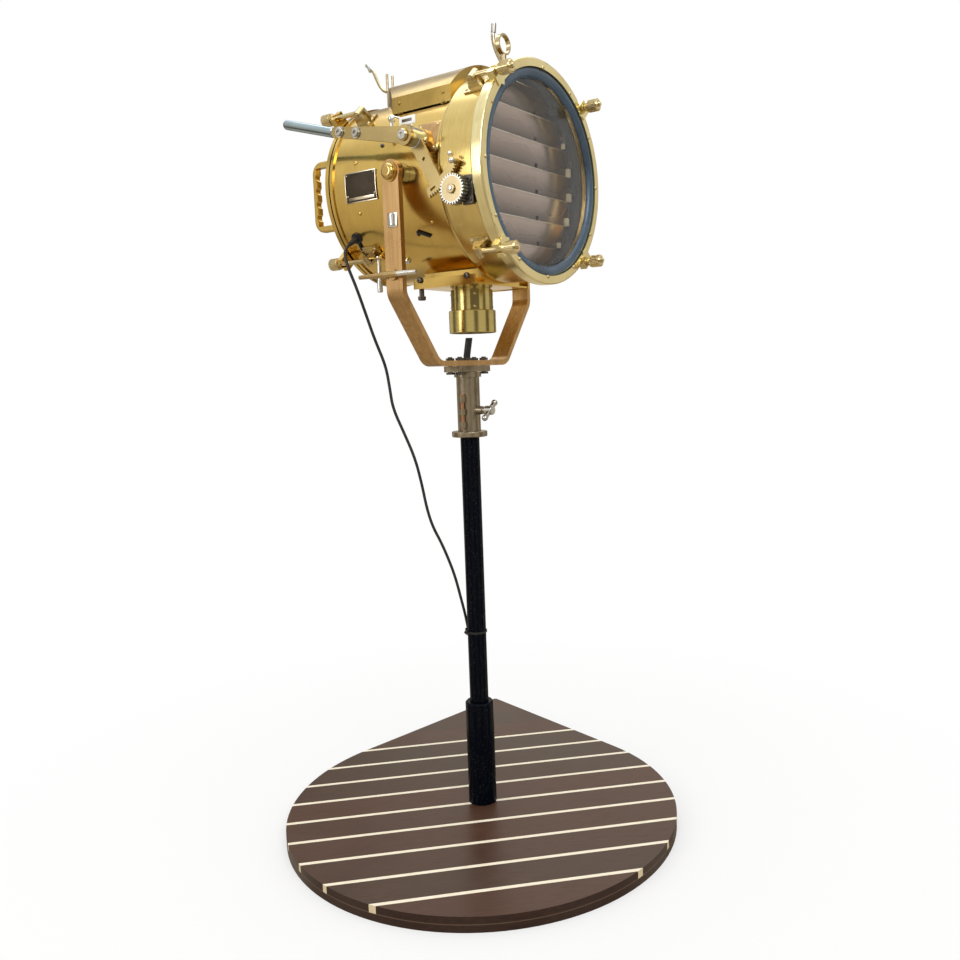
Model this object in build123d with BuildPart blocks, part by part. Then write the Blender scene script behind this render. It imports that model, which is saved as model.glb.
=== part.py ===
from build123d import *
import math
import os

os.makedirs("parts", exist_ok=True)

# A ship's signal lamp on a floor stand. All sizes in millimetres.
# The origin is on the floor under the pole. The beam leaves along -Y, and the signal lever is on the -X side.

# Clearances
seat_gap = 0.3
running_gap = 0.05
wear_gap = 0.5

# Deck base
board_thickness = 12.7
board_radius = 350.0
board_setback = 9.2
point_reach = 523.0
point_angle = 33.2
point_radius = 6.0
strip_count = 9
strip_pitch = 70.3
strip_width = 7.5
strip_angle = -45.0

# Pole and sleeve
pole_radius = 16.7
pole_foot = 13.0
pole_engagement = 75.0
sleeve_radius = 25.4
sleeve_height = 190.0
sleeve_chamfer = 2.5

# Height of the trunnion axis above the floor
trunnion_height = 1116.0

# Stanchion socket
socket_length = 112.4
socket_radius = 20.0
socket_flange_radius = 31.0
socket_flange_height = 10.0
socket_collar_radius = 23.5
socket_collar_height = 9.0
knuckle_angle = 192.0
knuckle_reach = 24.5
knuckle_radius = 5.5
knuckle_height = 10.0
knuckle_pitch = 22.0
knuckle_rise = 17.0
hinge_pin_radius = 3.2
clamp_angle = -90.0
clamp_rise = 46.0
clamp_boss_radius = 9.0
clamp_boss_tip_radius = 7.0
clamp_boss_reach = 31.0
clamp_screw_radius = 4.0
clamp_screw_head_radius = 8.0
clamp_screw_head_length = 14.0
clamp_screw_neck = 7.0
tommy_radius = 4.5
tommy_length = 38.0
tommy_ball_radius = 5.5
tommy_tilt = -40.0

# Yoke, spindle and yoke fasteners
yoke_half_span = 178.0
yoke_thickness = 9.0
yoke_width = 34.0
yoke_eye_radius = 19.0
yoke_shoulder_drop = 187.0
yoke_base_half = 97.0
yoke_base_drop = 298.0
yoke_bend_radius = 30.0
spindle_plate_length = 90.0
spindle_plate_width = 40.0
spindle_plate_thickness = 10.0
spindle_plate_corner = 8.0
spindle_radius = 12.0
spindle_length = 34.0
yoke_bolt_x = 34.0
yoke_bolt_y = 10.5
yoke_bolt_radius = 4.0
yoke_bolt_head_radius = 7.5
yoke_bolt_head_height = 4.0
cable_radius = 6.0
cable_gland_radius = 16.0
cable_gland_height = 8.0
cable_lean = (0.0, -6.0)
cable_clear = 1.5

# Elevation lock on the left arm
lock_drop = 155.0
lock_screw_radius = 5.0
lock_pad_radius = 9.0
lock_pad_thickness = 3.0
lock_nut_radius = 9.0
lock_nut_thickness = 5.0
lock_bar_radius = 4.6
lock_bar_tip_radius = 3.2
lock_bar_front = 54.0
lock_bar_rear = 64.0

# Drum, front housing and rear door
drum_radius = 150.0
drum_wall = 2.5
drum_rear = -156.0
drum_front = 74.0
drum_bead_radius = 152.5
drum_bead_length = 6.0
housing_radius = 164.0
housing_wall = 3.0
housing_rear = 71.0
housing_front = 150.0
housing_shoulder = 86.0
gasket_thickness = 2.0
gasket_outer = 148.0
gasket_inner = 140.0
rear_flange_thickness = 7.5
rear_flange_inner = 126.0
rear_dish_depth = 13.0
rear_dish_wall = 3.0
rear_boss_radius = 13.0
rear_boss_length = 12.0

# Front door: ring, glass and bezel
door_overhang = 8.5
door_depth = 20.0
door_bore_margin = 6.4
door_lip_width = 17.0
door_lip_thickness = 6.5
door_edge_radius = 3.0
glass_seat = 5.4
glass_thickness = 4.0
bezel_cover = 9.4
bezel_depth = 7.5

# Shutter: frame, vanes and link bar
vane_count = 7
vane_lap = 1.5
vane_thickness = 1.5
vane_rod_radius = 3.0
vane_rest_angle = 94.5
vane_axis = 122.0
frame_wall = 3.0
frame_depth = 36.0
vane_clear = 2.2
link_offset = 45.0
link_crank = 18.0
link_crank_angle = -64.0
link_width = 8.0
link_thickness = 3.0
link_pin_radius = 2.0
link_lug_radius = 3.6
link_lug_thickness = 3.0
link_notch_width = 8.0
link_notch_depth = 12.0
driven_vane = 4
bearing_length = 7.0
bearing_height = 16.0
bearing_depth = 16.0
bearing_clear = 1.5

# Signal lever, sector and pinion
gear_module = 1.5
pinion_teeth = 28
sector_full_teeth = 126
sector_teeth = 16
pressure_angle = 20.0
backlash = 0.25
mesh_angle = 48.3
pinion_standoff = 2.0
pinion_width = 16.0
pinion_shaft_radius = 5.0
pinion_cap_radius = 7.0
pinion_cap_height = 3.0
sector_inset = 2.5
sector_thickness = 5.0
sector_rim = 12.0
hub_inset = 11.2
hub_length = 36.7
hub_radius = 15.0
lever_pin_radius = 6.0
lever_pin_head_radius = 9.0
lever_pin_head_height = 3.0
lever_bracket_radius = 16.0
sector_arm_angle = -60.0
sector_arm_width = 22.0
sector_arm_hole = (40.0, 3.0)
sector_slot = (87.0, -66.0)
sector_slot_length = 11.0
sector_slot_width = 4.0
bar_thickness = 6.0
bar_root_width = 25.0
bar_tip_width = 15.0
bar_tip = (-97.0, 71.6)
handle_root = (-40.0, 60.5)
handle_neck = (-107.0, 73.7)
handle_tip = (-219.0, 105.5)
handle_radius = 7.8
handle_tang_width = 13.0
handle_tang_thickness = 7.0
lever_bolt_places = ((-85.0, 69.6), (-50.0, 62.7))
lever_bolt_radius = 4.0
lever_bolt_head_radius = 7.0
lever_bolt_head_height = 5.0

# Clamps: swing bolts round the front door and the rear door
clamp_angles = (45.0, 135.0, 225.0, 315.0)
clamp_names = ("right_upper", "left_upper", "left_lower", "right_lower")
swing_bolt_radius = 4.0
swing_pin_radius = 2.5
swing_eye_radius = 6.5
swing_eye_width = 8.0
lug_ear_thickness = 5.0
lug_plate_thickness = 2.5
lug_plate_width = 30.0
lug_plate_length = 36.0
knob_radius = 9.5
knob_length = 21.0
knob_collar_radius = 6.5
knob_collar_length = 4.0
bolt_tail = 4.0
tongue_width = 24.0
tongue_slot = 9.0
tongue_past_bolt = 5.0
tongue_thickness = 12.0
tongue_raise = 2.0
tongue_length = 25.0
rear_tongue_raise = 3.0
front_clamp_standoff = 7.5
front_clamp_pivot = 128.0
rear_clamp_standoff = 18.0
rear_clamp_pivot = -112.0

# Vent hood on top of the drum
hood_half_width = 108.0
hood_side_low = 102.0
hood_side_high = 132.0
hood_crown = 181.0
hood_front = 70.0
hood_rear = -100.0
hood_rear_corner = (50.0, 50.0)
hood_wall = 2.5
hood_drum_gap = 2.0
hood_foot_size = 12.0
hood_foot_low = 60.0
hood_foot_forwards = (55.0, -35.0)
vent_hole_radius = 11.0
vent_hole_angles = (72.0, 90.0, 108.0)
vent_hole_forwards = (-60.0, -15.0, 30.0)

# Trunnions
trunnion_radius = 8.0
trunnion_boss_radius = 17.0
trunnion_collar_radius = 13.0
trunnion_collar_length = 6.0
trunnion_washer_radius = 15.0
trunnion_washer_thickness = 2.0
trunnion_cap_radius = 12.5
trunnion_cap_height = 7.5

# Reflector, lamp and focusing screw
reflector_rim_radius = 140.0
reflector_focus = 44.5
reflector_wall = 1.5
reflector_hole_radius = 24.0
bulb_radius = 29.0
bulb_neck_radius = 13.0
holder_radius = 19.0
holder_length = 34.0
holder_rear = -62.0
focus_rod_radius = 5.0
focus_knob_radius = 17.0
focus_knob_length = 14.0
focus_knob_gap = 10.0

# Lamp box, its cover plate and the lamp base housing under the drum
box_half_width = 50.0
box_front = 80.0
box_rear = -46.0
box_drop = 168.0
box_wall = 3.0
rail_half_width = 75.0
rail_height = 16.0
rail_thickness = 3.0
cover_thickness = 3.0
base_forward = 15.0
base_upper_radius = 33.0
base_lower_radius = 40.0
base_step_drop = 205.0
base_bottom_drop = 243.0
base_wall = 3.0
strap_count = 4
strap_width = 15.0
strap_thickness = 2.0
wire_hole_radius = 14.0

# Nameplate, lead gland and sights
plate_front = -54.0
plate_rear = -122.0
plate_low_angle = 173.3
plate_high_angle = 191.5
plate_thickness = 1.2
plate_margin = 3.0
gland_angle = 212.9
gland_forward = -125.0
gland_ring_radius = 9.5
gland_ring_height = 3.0
gland_boot_radius = 5.5
gland_boot_tip_radius = 3.6
gland_reach = 21.0
front_horn_radius = 3.3
sight_band_width = 7.0
sight_band_thickness = 2.8
front_sight_forward = 96.0
front_sight_post_radius = 4.5
front_sight_foot_radius = 9.0
front_sight_ring_radius = 15.0
front_sight_ring_rise = 47.0
rear_sight_forward = -147.0
rear_sight_width = 15.0
rear_sight_thickness = 3.0
rear_sight_top = 188.0
rear_fork_half = 7.0
rear_fork_tip = 213.0
rear_fork_radius = 2.2
rear_horn_radius = 2.7
rear_sight_foot = 20.0
rear_sight_horn = ((-148.5, 186.0), (-164.0, 190.0), (-176.0, 205.0), (-201.0, 240.0))
front_sight_horn = ((94.0, 18.0), (85.0, 34.0), (77.0, 58.0), (79.0, 82.0))
sight_tip_radius = 3.9

# Rear handles
handle_offset = 131.0
handle_depth = 46.0
handle_height = 116.0
handle_centre = -8.0
handle_thickness = 11.0
handle_section = 10.0
finger_radius = 7.0
finger_pitch = 22.0
finger_count = 4
finger_bite = 3.0
handle_corner = 20.0

# Mains lead
lead_radius = 2.5
hank_near = 76.0
hank_length = 130.0
hank_width = 36.0
hank_height = 13.0
hank_heading = 37.5
plug_length = 44.0
plug_width = 27.0
plug_height = 17.0
plug_pin_radius = 2.0
plug_pin_length = 19.0
plug_pin_spread = 19.0

# Places worked out from the sizes above
deck_top = 2 * board_thickness
yoke_base_bottom = trunnion_height - yoke_base_drop
yoke_base_top = yoke_base_bottom + yoke_thickness
spindle_plate_top = yoke_base_bottom - seat_gap
spindle_plate_bottom = spindle_plate_top - spindle_plate_thickness
socket_top = spindle_plate_bottom - seat_gap
socket_bottom = socket_top - socket_length
pole_top = socket_bottom + pole_engagement
knuckle_low = socket_bottom + knuckle_rise
clamp_height = socket_bottom + clamp_rise
arm_inner = yoke_half_span - yoke_thickness
door_radius = housing_radius + door_overhang
door_lip_radius = housing_radius - door_lip_width
glass_radius = door_lip_radius + glass_seat
door_bore_radius = glass_radius + door_bore_margin
bezel_inner_radius = glass_radius - bezel_cover
front_sight_ring_height = housing_radius + front_sight_ring_rise
front_clamp_radius = door_radius + front_clamp_standoff
rear_clamp_radius = drum_radius + rear_clamp_standoff
tongue_point = front_clamp_radius - tongue_length
pinion_inner = housing_radius + pinion_standoff
sector_inner = pinion_inner + sector_inset
hub_inner = sector_inner - hub_inset
hub_outer = hub_inner + hub_length
vane_pitch = 2 * door_lip_radius / vane_count
vane_chord = vane_pitch + vane_lap
door_back = housing_front + seat_gap
door_front = door_back + door_depth
glass_back = door_back + door_lip_thickness + seat_gap
bezel_back = glass_back + glass_thickness + seat_gap
bezel_front = bezel_back + bezel_depth
gasket_front = drum_rear - seat_gap
rear_door_face = gasket_front - gasket_thickness - seat_gap
rear_door_back = rear_door_face - rear_flange_thickness
rear_tongue_face = rear_door_back - rear_tongue_raise
front_tongue_face = door_front + tongue_raise
frame_outer = housing_radius - housing_wall - seat_gap
frame_inner = frame_outer - frame_wall
vane_reach = frame_inner - vane_clear
vane_heights = [((vane_count - 1) / 2 - k) * vane_pitch for k in range(vane_count)]
rod_ends = [
    math.sqrt((frame_outer - seat_gap) ** 2 - (abs(height) + vane_rod_radius) ** 2) for height in vane_heights
]
gear_centres = gear_module * (pinion_teeth + sector_full_teeth) / 2
pinion_forward = vane_axis
pinion_up = vane_heights[driven_vane]
lever_forward = pinion_forward - gear_centres * math.cos(math.radians(mesh_angle))
lever_up = pinion_up + gear_centres * math.sin(math.radians(mesh_angle))
trunnion = (0, 0, trunnion_height)
beam_axis = Axis(trunnion, (0, -1, 0))


def side_plane(leftward=0.0):
    """A plane that faces left: x runs forward along the beam and y runs up, from the trunnion axis."""
    return Plane(origin=(-leftward, 0, trunnion_height), x_dir=(0, -1, 0), z_dir=(-1, 0, 0))


def front_plane(forward=0.0):
    """A plane that faces forward: x runs to the right side and y runs up, from the beam axis."""
    return Plane(origin=(0, -forward, trunnion_height), x_dir=(1, 0, 0), z_dir=(0, -1, 0))


def radial_plane(angle):
    """A plane through the beam axis: x runs forward and y runs outward at this angle round the beam."""
    turn = math.radians(angle)
    return Plane(origin=trunnion, x_dir=(0, -1, 0), z_dir=(-math.sin(turn), 0, math.cos(turn)))


def drum_plane(angle, forward, reach):
    """A plane that faces outward from the beam axis at this angle, for a piece on the drum's side."""
    turn = math.radians(angle)
    outward = (math.cos(turn), 0, math.sin(turn))
    place = (reach * outward[0], -forward, trunnion_height + reach * outward[2])
    return Plane(origin=place, x_dir=(0, -1, 0), z_dir=outward)


def heading_plane(angle, height, reach=0.0):
    """An upright plane round the pole: its normal points outward at this angle."""
    turn = math.radians(angle)
    outward = (math.cos(turn), math.sin(turn), 0)
    place = (reach * outward[0], reach * outward[1], height)
    return Plane(origin=place, x_dir=(0, 0, 1), z_dir=outward)


def keep(builder, name):
    """Label a finished piece and write it out."""
    builder.part.label = name
    export_step(builder.part, f"parts/{name}.step")


# Deck base: a round board drawn out to a point, in two layers
point_turn = math.radians(point_angle)
board_centre = (-board_setback * math.cos(point_turn), -board_setback * math.sin(point_turn))
board_point = (
    board_centre[0] + point_reach * math.cos(point_turn),
    board_centre[1] + point_reach * math.sin(point_turn),
)
tangent_turn = math.acos(board_radius / point_reach)
board_tangents = [
    (
        board_centre[0] + board_radius * math.cos(point_turn + side * tangent_turn),
        board_centre[1] + board_radius * math.sin(point_turn + side * tangent_turn),
    )
    for side in (-1, 1)
]
strip_turn = math.radians(strip_angle)
strip_places = [
    (
        board_centre[0] - (k - (strip_count - 1) / 2) * strip_pitch * math.sin(strip_turn),
        board_centre[1] + (k - (strip_count - 1) / 2) * strip_pitch * math.cos(strip_turn),
    )
    for k in range(strip_count)
]

with BuildSketch() as deck_outline:
    with Locations(board_centre):
        Circle(board_radius)
    with BuildLine():
        Polyline(board_tangents[0], board_point, board_tangents[1], board_centre, close=True)
    make_face()
    fillet(deck_outline.vertices().sort_by_distance(board_point)[0], point_radius)

with BuildSketch() as strip_rows:
    with Locations(strip_places):
        Rectangle(3 * point_reach, strip_width, rotation=strip_angle)
    add(deck_outline.sketch, mode=Mode.INTERSECT)

with BuildPart() as base_board:
    with BuildSketch():
        add(deck_outline.sketch)
    extrude(amount=board_thickness)
keep(base_board, "base_board")

with BuildPart() as deck_planks:
    with BuildSketch(Plane.XY.offset(board_thickness)):
        add(deck_outline.sketch)
        add(strip_rows.sketch, mode=Mode.SUBTRACT)
        Circle(pole_radius + running_gap, mode=Mode.SUBTRACT)
    extrude(amount=board_thickness)
keep(deck_planks, "deck_planks")

with BuildPart() as deck_strips:
    with BuildSketch(Plane.XY.offset(board_thickness)):
        add(strip_rows.sketch)
        Circle(pole_radius + running_gap, mode=Mode.SUBTRACT)
    extrude(amount=board_thickness)
keep(deck_strips, "deck_strips")

# Pole and the sleeve that holds its foot
with BuildPart() as pole:
    with BuildSketch(Plane.XY.offset(pole_foot)):
        Circle(pole_radius)
    extrude(amount=pole_top - pole_foot)
keep(pole, "pole")

with BuildPart() as pole_sleeve:
    with BuildSketch(Plane.XY.offset(deck_top)):
        Circle(sleeve_radius)
        Circle(pole_radius + running_gap, mode=Mode.SUBTRACT)
    extrude(amount=sleeve_height)
    chamfer(pole_sleeve.edges().filter_by(GeomType.CIRCLE).group_by(Axis.Z)[-1].sort_by(SortBy.RADIUS)[-1],
            sleeve_chamfer)
keep(pole_sleeve, "pole_sleeve")

# Stanchion socket: it sits on the pole, and the yoke's spindle turns in its upper bore
knuckle_plane = Plane.XY.rotated((0, 0, knuckle_angle))
with BuildPart() as stanchion_socket:
    with BuildSketch(Plane.XY.offset(socket_bottom)):
        Circle(socket_flange_radius)
    extrude(amount=socket_flange_height)
    fillet(stanchion_socket.edges().filter_by(GeomType.CIRCLE), 2.0)
    with BuildSketch(Plane.XY.offset(socket_bottom)):
        Circle(socket_radius)
    extrude(amount=socket_top - socket_bottom)
    with BuildSketch(Plane.XY.offset(socket_top - socket_collar_height)):
        Circle(socket_collar_radius)
    extrude(amount=socket_collar_height)
    with BuildSketch(heading_plane(clamp_angle, clamp_height)):
        Circle(clamp_boss_radius)
    with BuildSketch(heading_plane(clamp_angle, clamp_height, clamp_boss_reach)):
        Circle(clamp_boss_tip_radius)
    loft()
    for k in range(3):
        with BuildSketch(knuckle_plane.offset(knuckle_low + k * knuckle_pitch)):
            with Locations((knuckle_reach, 0)):
                Circle(knuckle_radius)
            with Locations((knuckle_reach / 2, 0)):
                Rectangle(knuckle_reach, 2 * knuckle_radius)
        extrude(amount=knuckle_height)
    with BuildSketch(Plane.XY.offset(socket_bottom)):
        Circle(pole_radius + running_gap)
    extrude(amount=pole_top + seat_gap - socket_bottom, mode=Mode.SUBTRACT)
    with BuildSketch(Plane.XY.offset(pole_top)):
        Circle(spindle_radius + running_gap)
    extrude(amount=socket_top - pole_top, mode=Mode.SUBTRACT)
    with BuildSketch(heading_plane(clamp_angle, clamp_height)):
        Circle(clamp_screw_radius + running_gap)
    extrude(amount=clamp_boss_reach, mode=Mode.SUBTRACT)
    with BuildSketch(knuckle_plane.offset(knuckle_low)):
        with Locations((knuckle_reach, 0)):
            Circle(hinge_pin_radius + running_gap)
    extrude(amount=2 * knuckle_pitch + knuckle_height, mode=Mode.SUBTRACT)
keep(stanchion_socket, "stanchion_socket")

with BuildPart() as socket_hinge_pin:
    with BuildSketch(knuckle_plane.offset(knuckle_low - 2)):
        with Locations((knuckle_reach, 0)):
            Circle(hinge_pin_radius)
    extrude(amount=2 * knuckle_pitch + knuckle_height + 4)
    with BuildSketch(knuckle_plane.offset(knuckle_low + 2 * knuckle_pitch + knuckle_height + seat_gap)):
        with Locations((knuckle_reach, 0)):
            Circle(hinge_pin_radius + 1)
    extrude(amount=3)
keep(socket_hinge_pin, "socket_hinge_pin")

# Clamp screw with a sliding tommy bar
clamp_head_start = clamp_boss_reach + clamp_screw_neck
clamp_head_middle = clamp_head_start + clamp_screw_head_length / 2
with BuildPart() as socket_clamp_screw:
    with BuildSketch(heading_plane(clamp_angle, clamp_height, pole_radius + seat_gap)):
        Circle(clamp_screw_radius)
    extrude(amount=clamp_head_start - pole_radius - seat_gap)
    with BuildSketch(heading_plane(clamp_angle, clamp_height, clamp_head_start)):
        Circle(clamp_screw_head_radius)
    extrude(amount=clamp_screw_head_length)
    fillet(socket_clamp_screw.edges().filter_by(GeomType.CIRCLE).sort_by_distance((0, 0, clamp_height))[-1], 2.0)
    tommy_turn = math.radians(tommy_tilt)
    tommy_side = heading_plane(clamp_angle, clamp_height, clamp_head_middle)
    tommy_way = (
        tommy_side.x_dir * math.sin(tommy_turn) + tommy_side.y_dir * math.cos(tommy_turn)
    )
    tommy_plane = Plane(origin=tommy_side.origin, z_dir=tommy_way)
    with BuildSketch(tommy_plane):
        Circle(tommy_radius + running_gap)
    extrude(amount=tommy_length, both=True, mode=Mode.SUBTRACT)
    with BuildSketch(tommy_plane):
        Circle(tommy_radius)
    extrude(amount=tommy_length / 2, both=True)
    with Locations(
        tommy_plane.offset(tommy_length / 2).location, tommy_plane.offset(-tommy_length / 2).location
    ):
        Sphere(tommy_ball_radius)
keep(socket_clamp_screw, "socket_clamp_screw")

# Yoke: one flat bar bent to a U with raked shoulders, its eyes carrying the trunnions
with BuildPart() as yoke:
    with BuildSketch(front_plane()):
        with BuildLine():
            FilletPolyline(
                (-yoke_half_span, 0),
                (-yoke_half_span, -yoke_shoulder_drop),
                (-yoke_base_half, -yoke_base_drop),
                (yoke_base_half, -yoke_base_drop),
                (yoke_half_span, -yoke_shoulder_drop),
                (yoke_half_span, 0),
                radius=yoke_bend_radius,
            )
            offset(amount=yoke_thickness, side=Side.LEFT)
        make_face()
    extrude(amount=yoke_width / 2, both=True)
    for side in (-1, 1):
        with BuildSketch(Plane.YZ.offset(side * arm_inner)):
            with Locations((0, trunnion_height)):
                Circle(yoke_eye_radius)
        extrude(amount=side * yoke_thickness)
    with BuildSketch(Plane.YZ.offset(-yoke_half_span)):
        with Locations((0, trunnion_height)):
            Circle(trunnion_radius + running_gap)
    extrude(amount=2 * yoke_half_span, mode=Mode.SUBTRACT)
    with BuildSketch(Plane.YZ.offset(-yoke_half_span)):
        with Locations((0, trunnion_height - lock_drop)):
            Circle(lock_screw_radius + running_gap)
    extrude(amount=yoke_thickness, mode=Mode.SUBTRACT)
    with BuildSketch(Plane.XY.offset(yoke_base_bottom)):
        with GridLocations(2 * yoke_bolt_x, 2 * yoke_bolt_y, 2, 2):
            Circle(yoke_bolt_radius + running_gap)
    extrude(amount=yoke_thickness, mode=Mode.SUBTRACT)
keep(yoke, "yoke")

with BuildPart() as yoke_spindle:
    with BuildSketch(Plane.XY.offset(spindle_plate_bottom)):
        RectangleRounded(spindle_plate_length, spindle_plate_width, spindle_plate_corner)
        with GridLocations(2 * yoke_bolt_x, 2 * yoke_bolt_y, 2, 2):
            Circle(yoke_bolt_radius + running_gap, mode=Mode.SUBTRACT)
    extrude(amount=spindle_plate_thickness)
    with BuildSketch(Plane.XY.offset(spindle_plate_bottom)):
        Circle(spindle_radius)
    extrude(amount=-spindle_length)
    chamfer(yoke_spindle.faces().sort_by(Axis.Z)[0].edges(), 1.5)
keep(yoke_spindle, "yoke_spindle")

bolt_head_top = spindle_plate_bottom - seat_gap
bolt_nut_bottom = yoke_base_top + seat_gap
with BuildPart() as yoke_fasteners:
    with BuildSketch(Plane.XY.offset(bolt_head_top - yoke_bolt_head_height)):
        with GridLocations(2 * yoke_bolt_x, 2 * yoke_bolt_y, 2, 2):
            RegularPolygon(yoke_bolt_head_radius, 6)
    extrude(amount=yoke_bolt_head_height)
    with BuildSketch(Plane.XY.offset(bolt_head_top)):
        with GridLocations(2 * yoke_bolt_x, 2 * yoke_bolt_y, 2, 2):
            Circle(yoke_bolt_radius)
    extrude(amount=bolt_nut_bottom + yoke_bolt_head_height + 2 - bolt_head_top)
    with BuildSketch(Plane.XY.offset(bolt_nut_bottom)):
        with GridLocations(2 * yoke_bolt_x, 2 * yoke_bolt_y, 2, 2):
            RegularPolygon(yoke_bolt_head_radius, 6)
        Circle(cable_gland_radius)
        Circle(cable_radius + running_gap, mode=Mode.SUBTRACT)
    extrude(amount=yoke_bolt_head_height)
keep(yoke_fasteners, "yoke_fasteners")

base_swing = math.hypot(base_bottom_drop, base_lower_radius + base_forward)
cable_top = trunnion_height - base_swing - cable_clear
with BuildPart() as base_cable:
    with BuildSketch(Plane.XY.offset(bolt_nut_bottom)):
        Circle(cable_radius)
    extrude(amount=cable_gland_height)
    with BuildSketch(Plane.XY.offset(bolt_nut_bottom + cable_gland_height)):
        Circle(cable_radius)
    with BuildSketch(Plane.XY.offset(cable_top)):
        with Locations(cable_lean):
            Circle(cable_radius)
    loft()
keep(base_cable, "base_cable")

# Elevation lock: a screw through the left arm, turned by a tapered cross bar
lock_up = trunnion_height - lock_drop
lock_nut_outer = yoke_half_span + seat_gap + lock_nut_thickness
lock_bar_centre = lock_nut_outer + lock_bar_radius
with BuildPart() as elevation_lock:
    with BuildSketch(side_plane(arm_inner - seat_gap - lock_pad_thickness)):
        with Locations((0, -lock_drop)):
            Circle(lock_pad_radius)
    extrude(amount=lock_pad_thickness)
    with BuildSketch(side_plane(arm_inner - seat_gap)):
        with Locations((0, -lock_drop)):
            Circle(lock_screw_radius)
    extrude(amount=lock_bar_centre - arm_inner + seat_gap)
    with BuildSketch(side_plane(yoke_half_span + seat_gap)):
        with Locations((0, -lock_drop)):
            RegularPolygon(lock_nut_radius, 6)
    extrude(amount=lock_nut_thickness)
    with BuildSketch(Plane(origin=(-lock_bar_centre, 0, lock_up), x_dir=(0, -1, 0), z_dir=(-1, 0, 0))):
        with BuildLine():
            Polyline(
                (-lock_bar_rear, 0),
                (-lock_bar_rear, lock_bar_tip_radius),
                (-12, lock_bar_radius),
                (12, lock_bar_radius),
                (lock_bar_front, lock_bar_tip_radius),
                (lock_bar_front, 0),
                close=True,
            )
        make_face()
    revolve(axis=Axis((-lock_bar_centre, 0, lock_up), (0, -1, 0)))
keep(elevation_lock, "elevation_lock")

# Drum shell with a bead at its rear rim
with BuildPart() as drum_shell:
    with BuildSketch(side_plane()):
        with BuildLine():
            Polyline(
                (drum_rear, drum_radius - drum_wall),
                (drum_rear, drum_bead_radius),
                (drum_rear + drum_bead_length, drum_bead_radius),
                (drum_rear + drum_bead_length, drum_radius),
                (drum_front, drum_radius),
                (drum_front, drum_radius - drum_wall),
                close=True,
            )
        make_face()
    revolve(axis=beam_axis)
    for angle in vent_hole_angles:
        for forward in vent_hole_forwards:
            with BuildSketch(drum_plane(angle, forward, drum_radius - 2 * drum_wall)):
                Circle(vent_hole_radius)
            extrude(amount=3 * drum_wall, mode=Mode.SUBTRACT)
    with BuildSketch(Plane.XY.offset(trunnion_height - drum_radius - drum_wall)):
        Circle(wire_hole_radius)
    extrude(amount=3 * drum_wall, mode=Mode.SUBTRACT)
keep(drum_shell, "drum_shell")

# Front housing: a larger drum that slides over the first, rounded at its shoulder
sleeve_inner = drum_radius + seat_gap
with BuildPart() as front_housing:
    with BuildSketch(side_plane()) as housing_profile:
        with BuildLine():
            Polyline(
                (housing_rear, sleeve_inner),
                (housing_rear, sleeve_inner + housing_wall),
                (housing_shoulder - 12, sleeve_inner + housing_wall),
                (housing_shoulder, housing_radius),
                (housing_front, housing_radius),
                (housing_front, housing_radius - housing_wall),
                (housing_shoulder + 1.5, housing_radius - housing_wall),
                (housing_shoulder - 10, sleeve_inner),
                close=True,
            )
        make_face()
        fillet(
            housing_profile.vertices().sort_by_distance((housing_shoulder, housing_radius))[0], 8.0
        )
    revolve(axis=beam_axis)
    with BuildSketch(side_plane()):
        with Locations((pinion_forward, pinion_up)):
            Circle(pinion_shaft_radius + running_gap)
    extrude(amount=housing_radius, mode=Mode.SUBTRACT)
keep(front_housing, "front_housing")

# Rear gasket and rear door, a shallow dish with a boss for the focusing screw
with BuildPart() as rear_gasket:
    with BuildSketch(front_plane(gasket_front)):
        Circle(gasket_outer)
        Circle(gasket_inner, mode=Mode.SUBTRACT)
    extrude(amount=-gasket_thickness)
keep(rear_gasket, "rear_gasket")

dish_back = rear_door_back - rear_dish_depth
with BuildPart() as rear_door:
    with BuildSketch(side_plane()) as rear_profile:
        with BuildLine():
            Polyline(
                (rear_door_face, rear_flange_inner),
                (rear_door_face, drum_bead_radius),
                (rear_door_back, drum_bead_radius),
                (rear_door_back, rear_flange_inner),
                (dish_back, rear_flange_inner - 12),
                (dish_back, rear_boss_radius),
                (dish_back - rear_boss_length, rear_boss_radius),
                (dish_back - rear_boss_length, focus_rod_radius + running_gap),
                (dish_back + rear_dish_wall, focus_rod_radius + running_gap),
                (dish_back + rear_dish_wall, rear_flange_inner - 14),
                (rear_door_back + rear_dish_wall, rear_flange_inner - 3),
                (rear_door_face, rear_flange_inner - 3),
                close=True,
            )
        make_face()
    revolve(axis=beam_axis)
    for angle in clamp_angles:
        with BuildSketch(radial_plane(angle)):
            with BuildLine():
                Polyline(
                    (rear_door_face, drum_bead_radius - 6),
                    (rear_door_face, rear_clamp_radius + tongue_past_bolt),
                    (rear_tongue_face, rear_clamp_radius + tongue_past_bolt),
                    (rear_tongue_face, drum_bead_radius - 6),
                    (rear_door_back, drum_bead_radius - 14),
                    close=True,
                )
            make_face()
        extrude(amount=tongue_width / 2, both=True)
        with BuildSketch(radial_plane(angle)):
            with Locations((rear_door_back, rear_clamp_radius - tongue_slot / 2)):
                Rectangle(4 * tongue_thickness, 2 * tongue_slot, align=(Align.CENTER, Align.MIN))
        extrude(amount=tongue_slot / 2, both=True, mode=Mode.SUBTRACT)
keep(rear_door, "rear_door")

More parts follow.
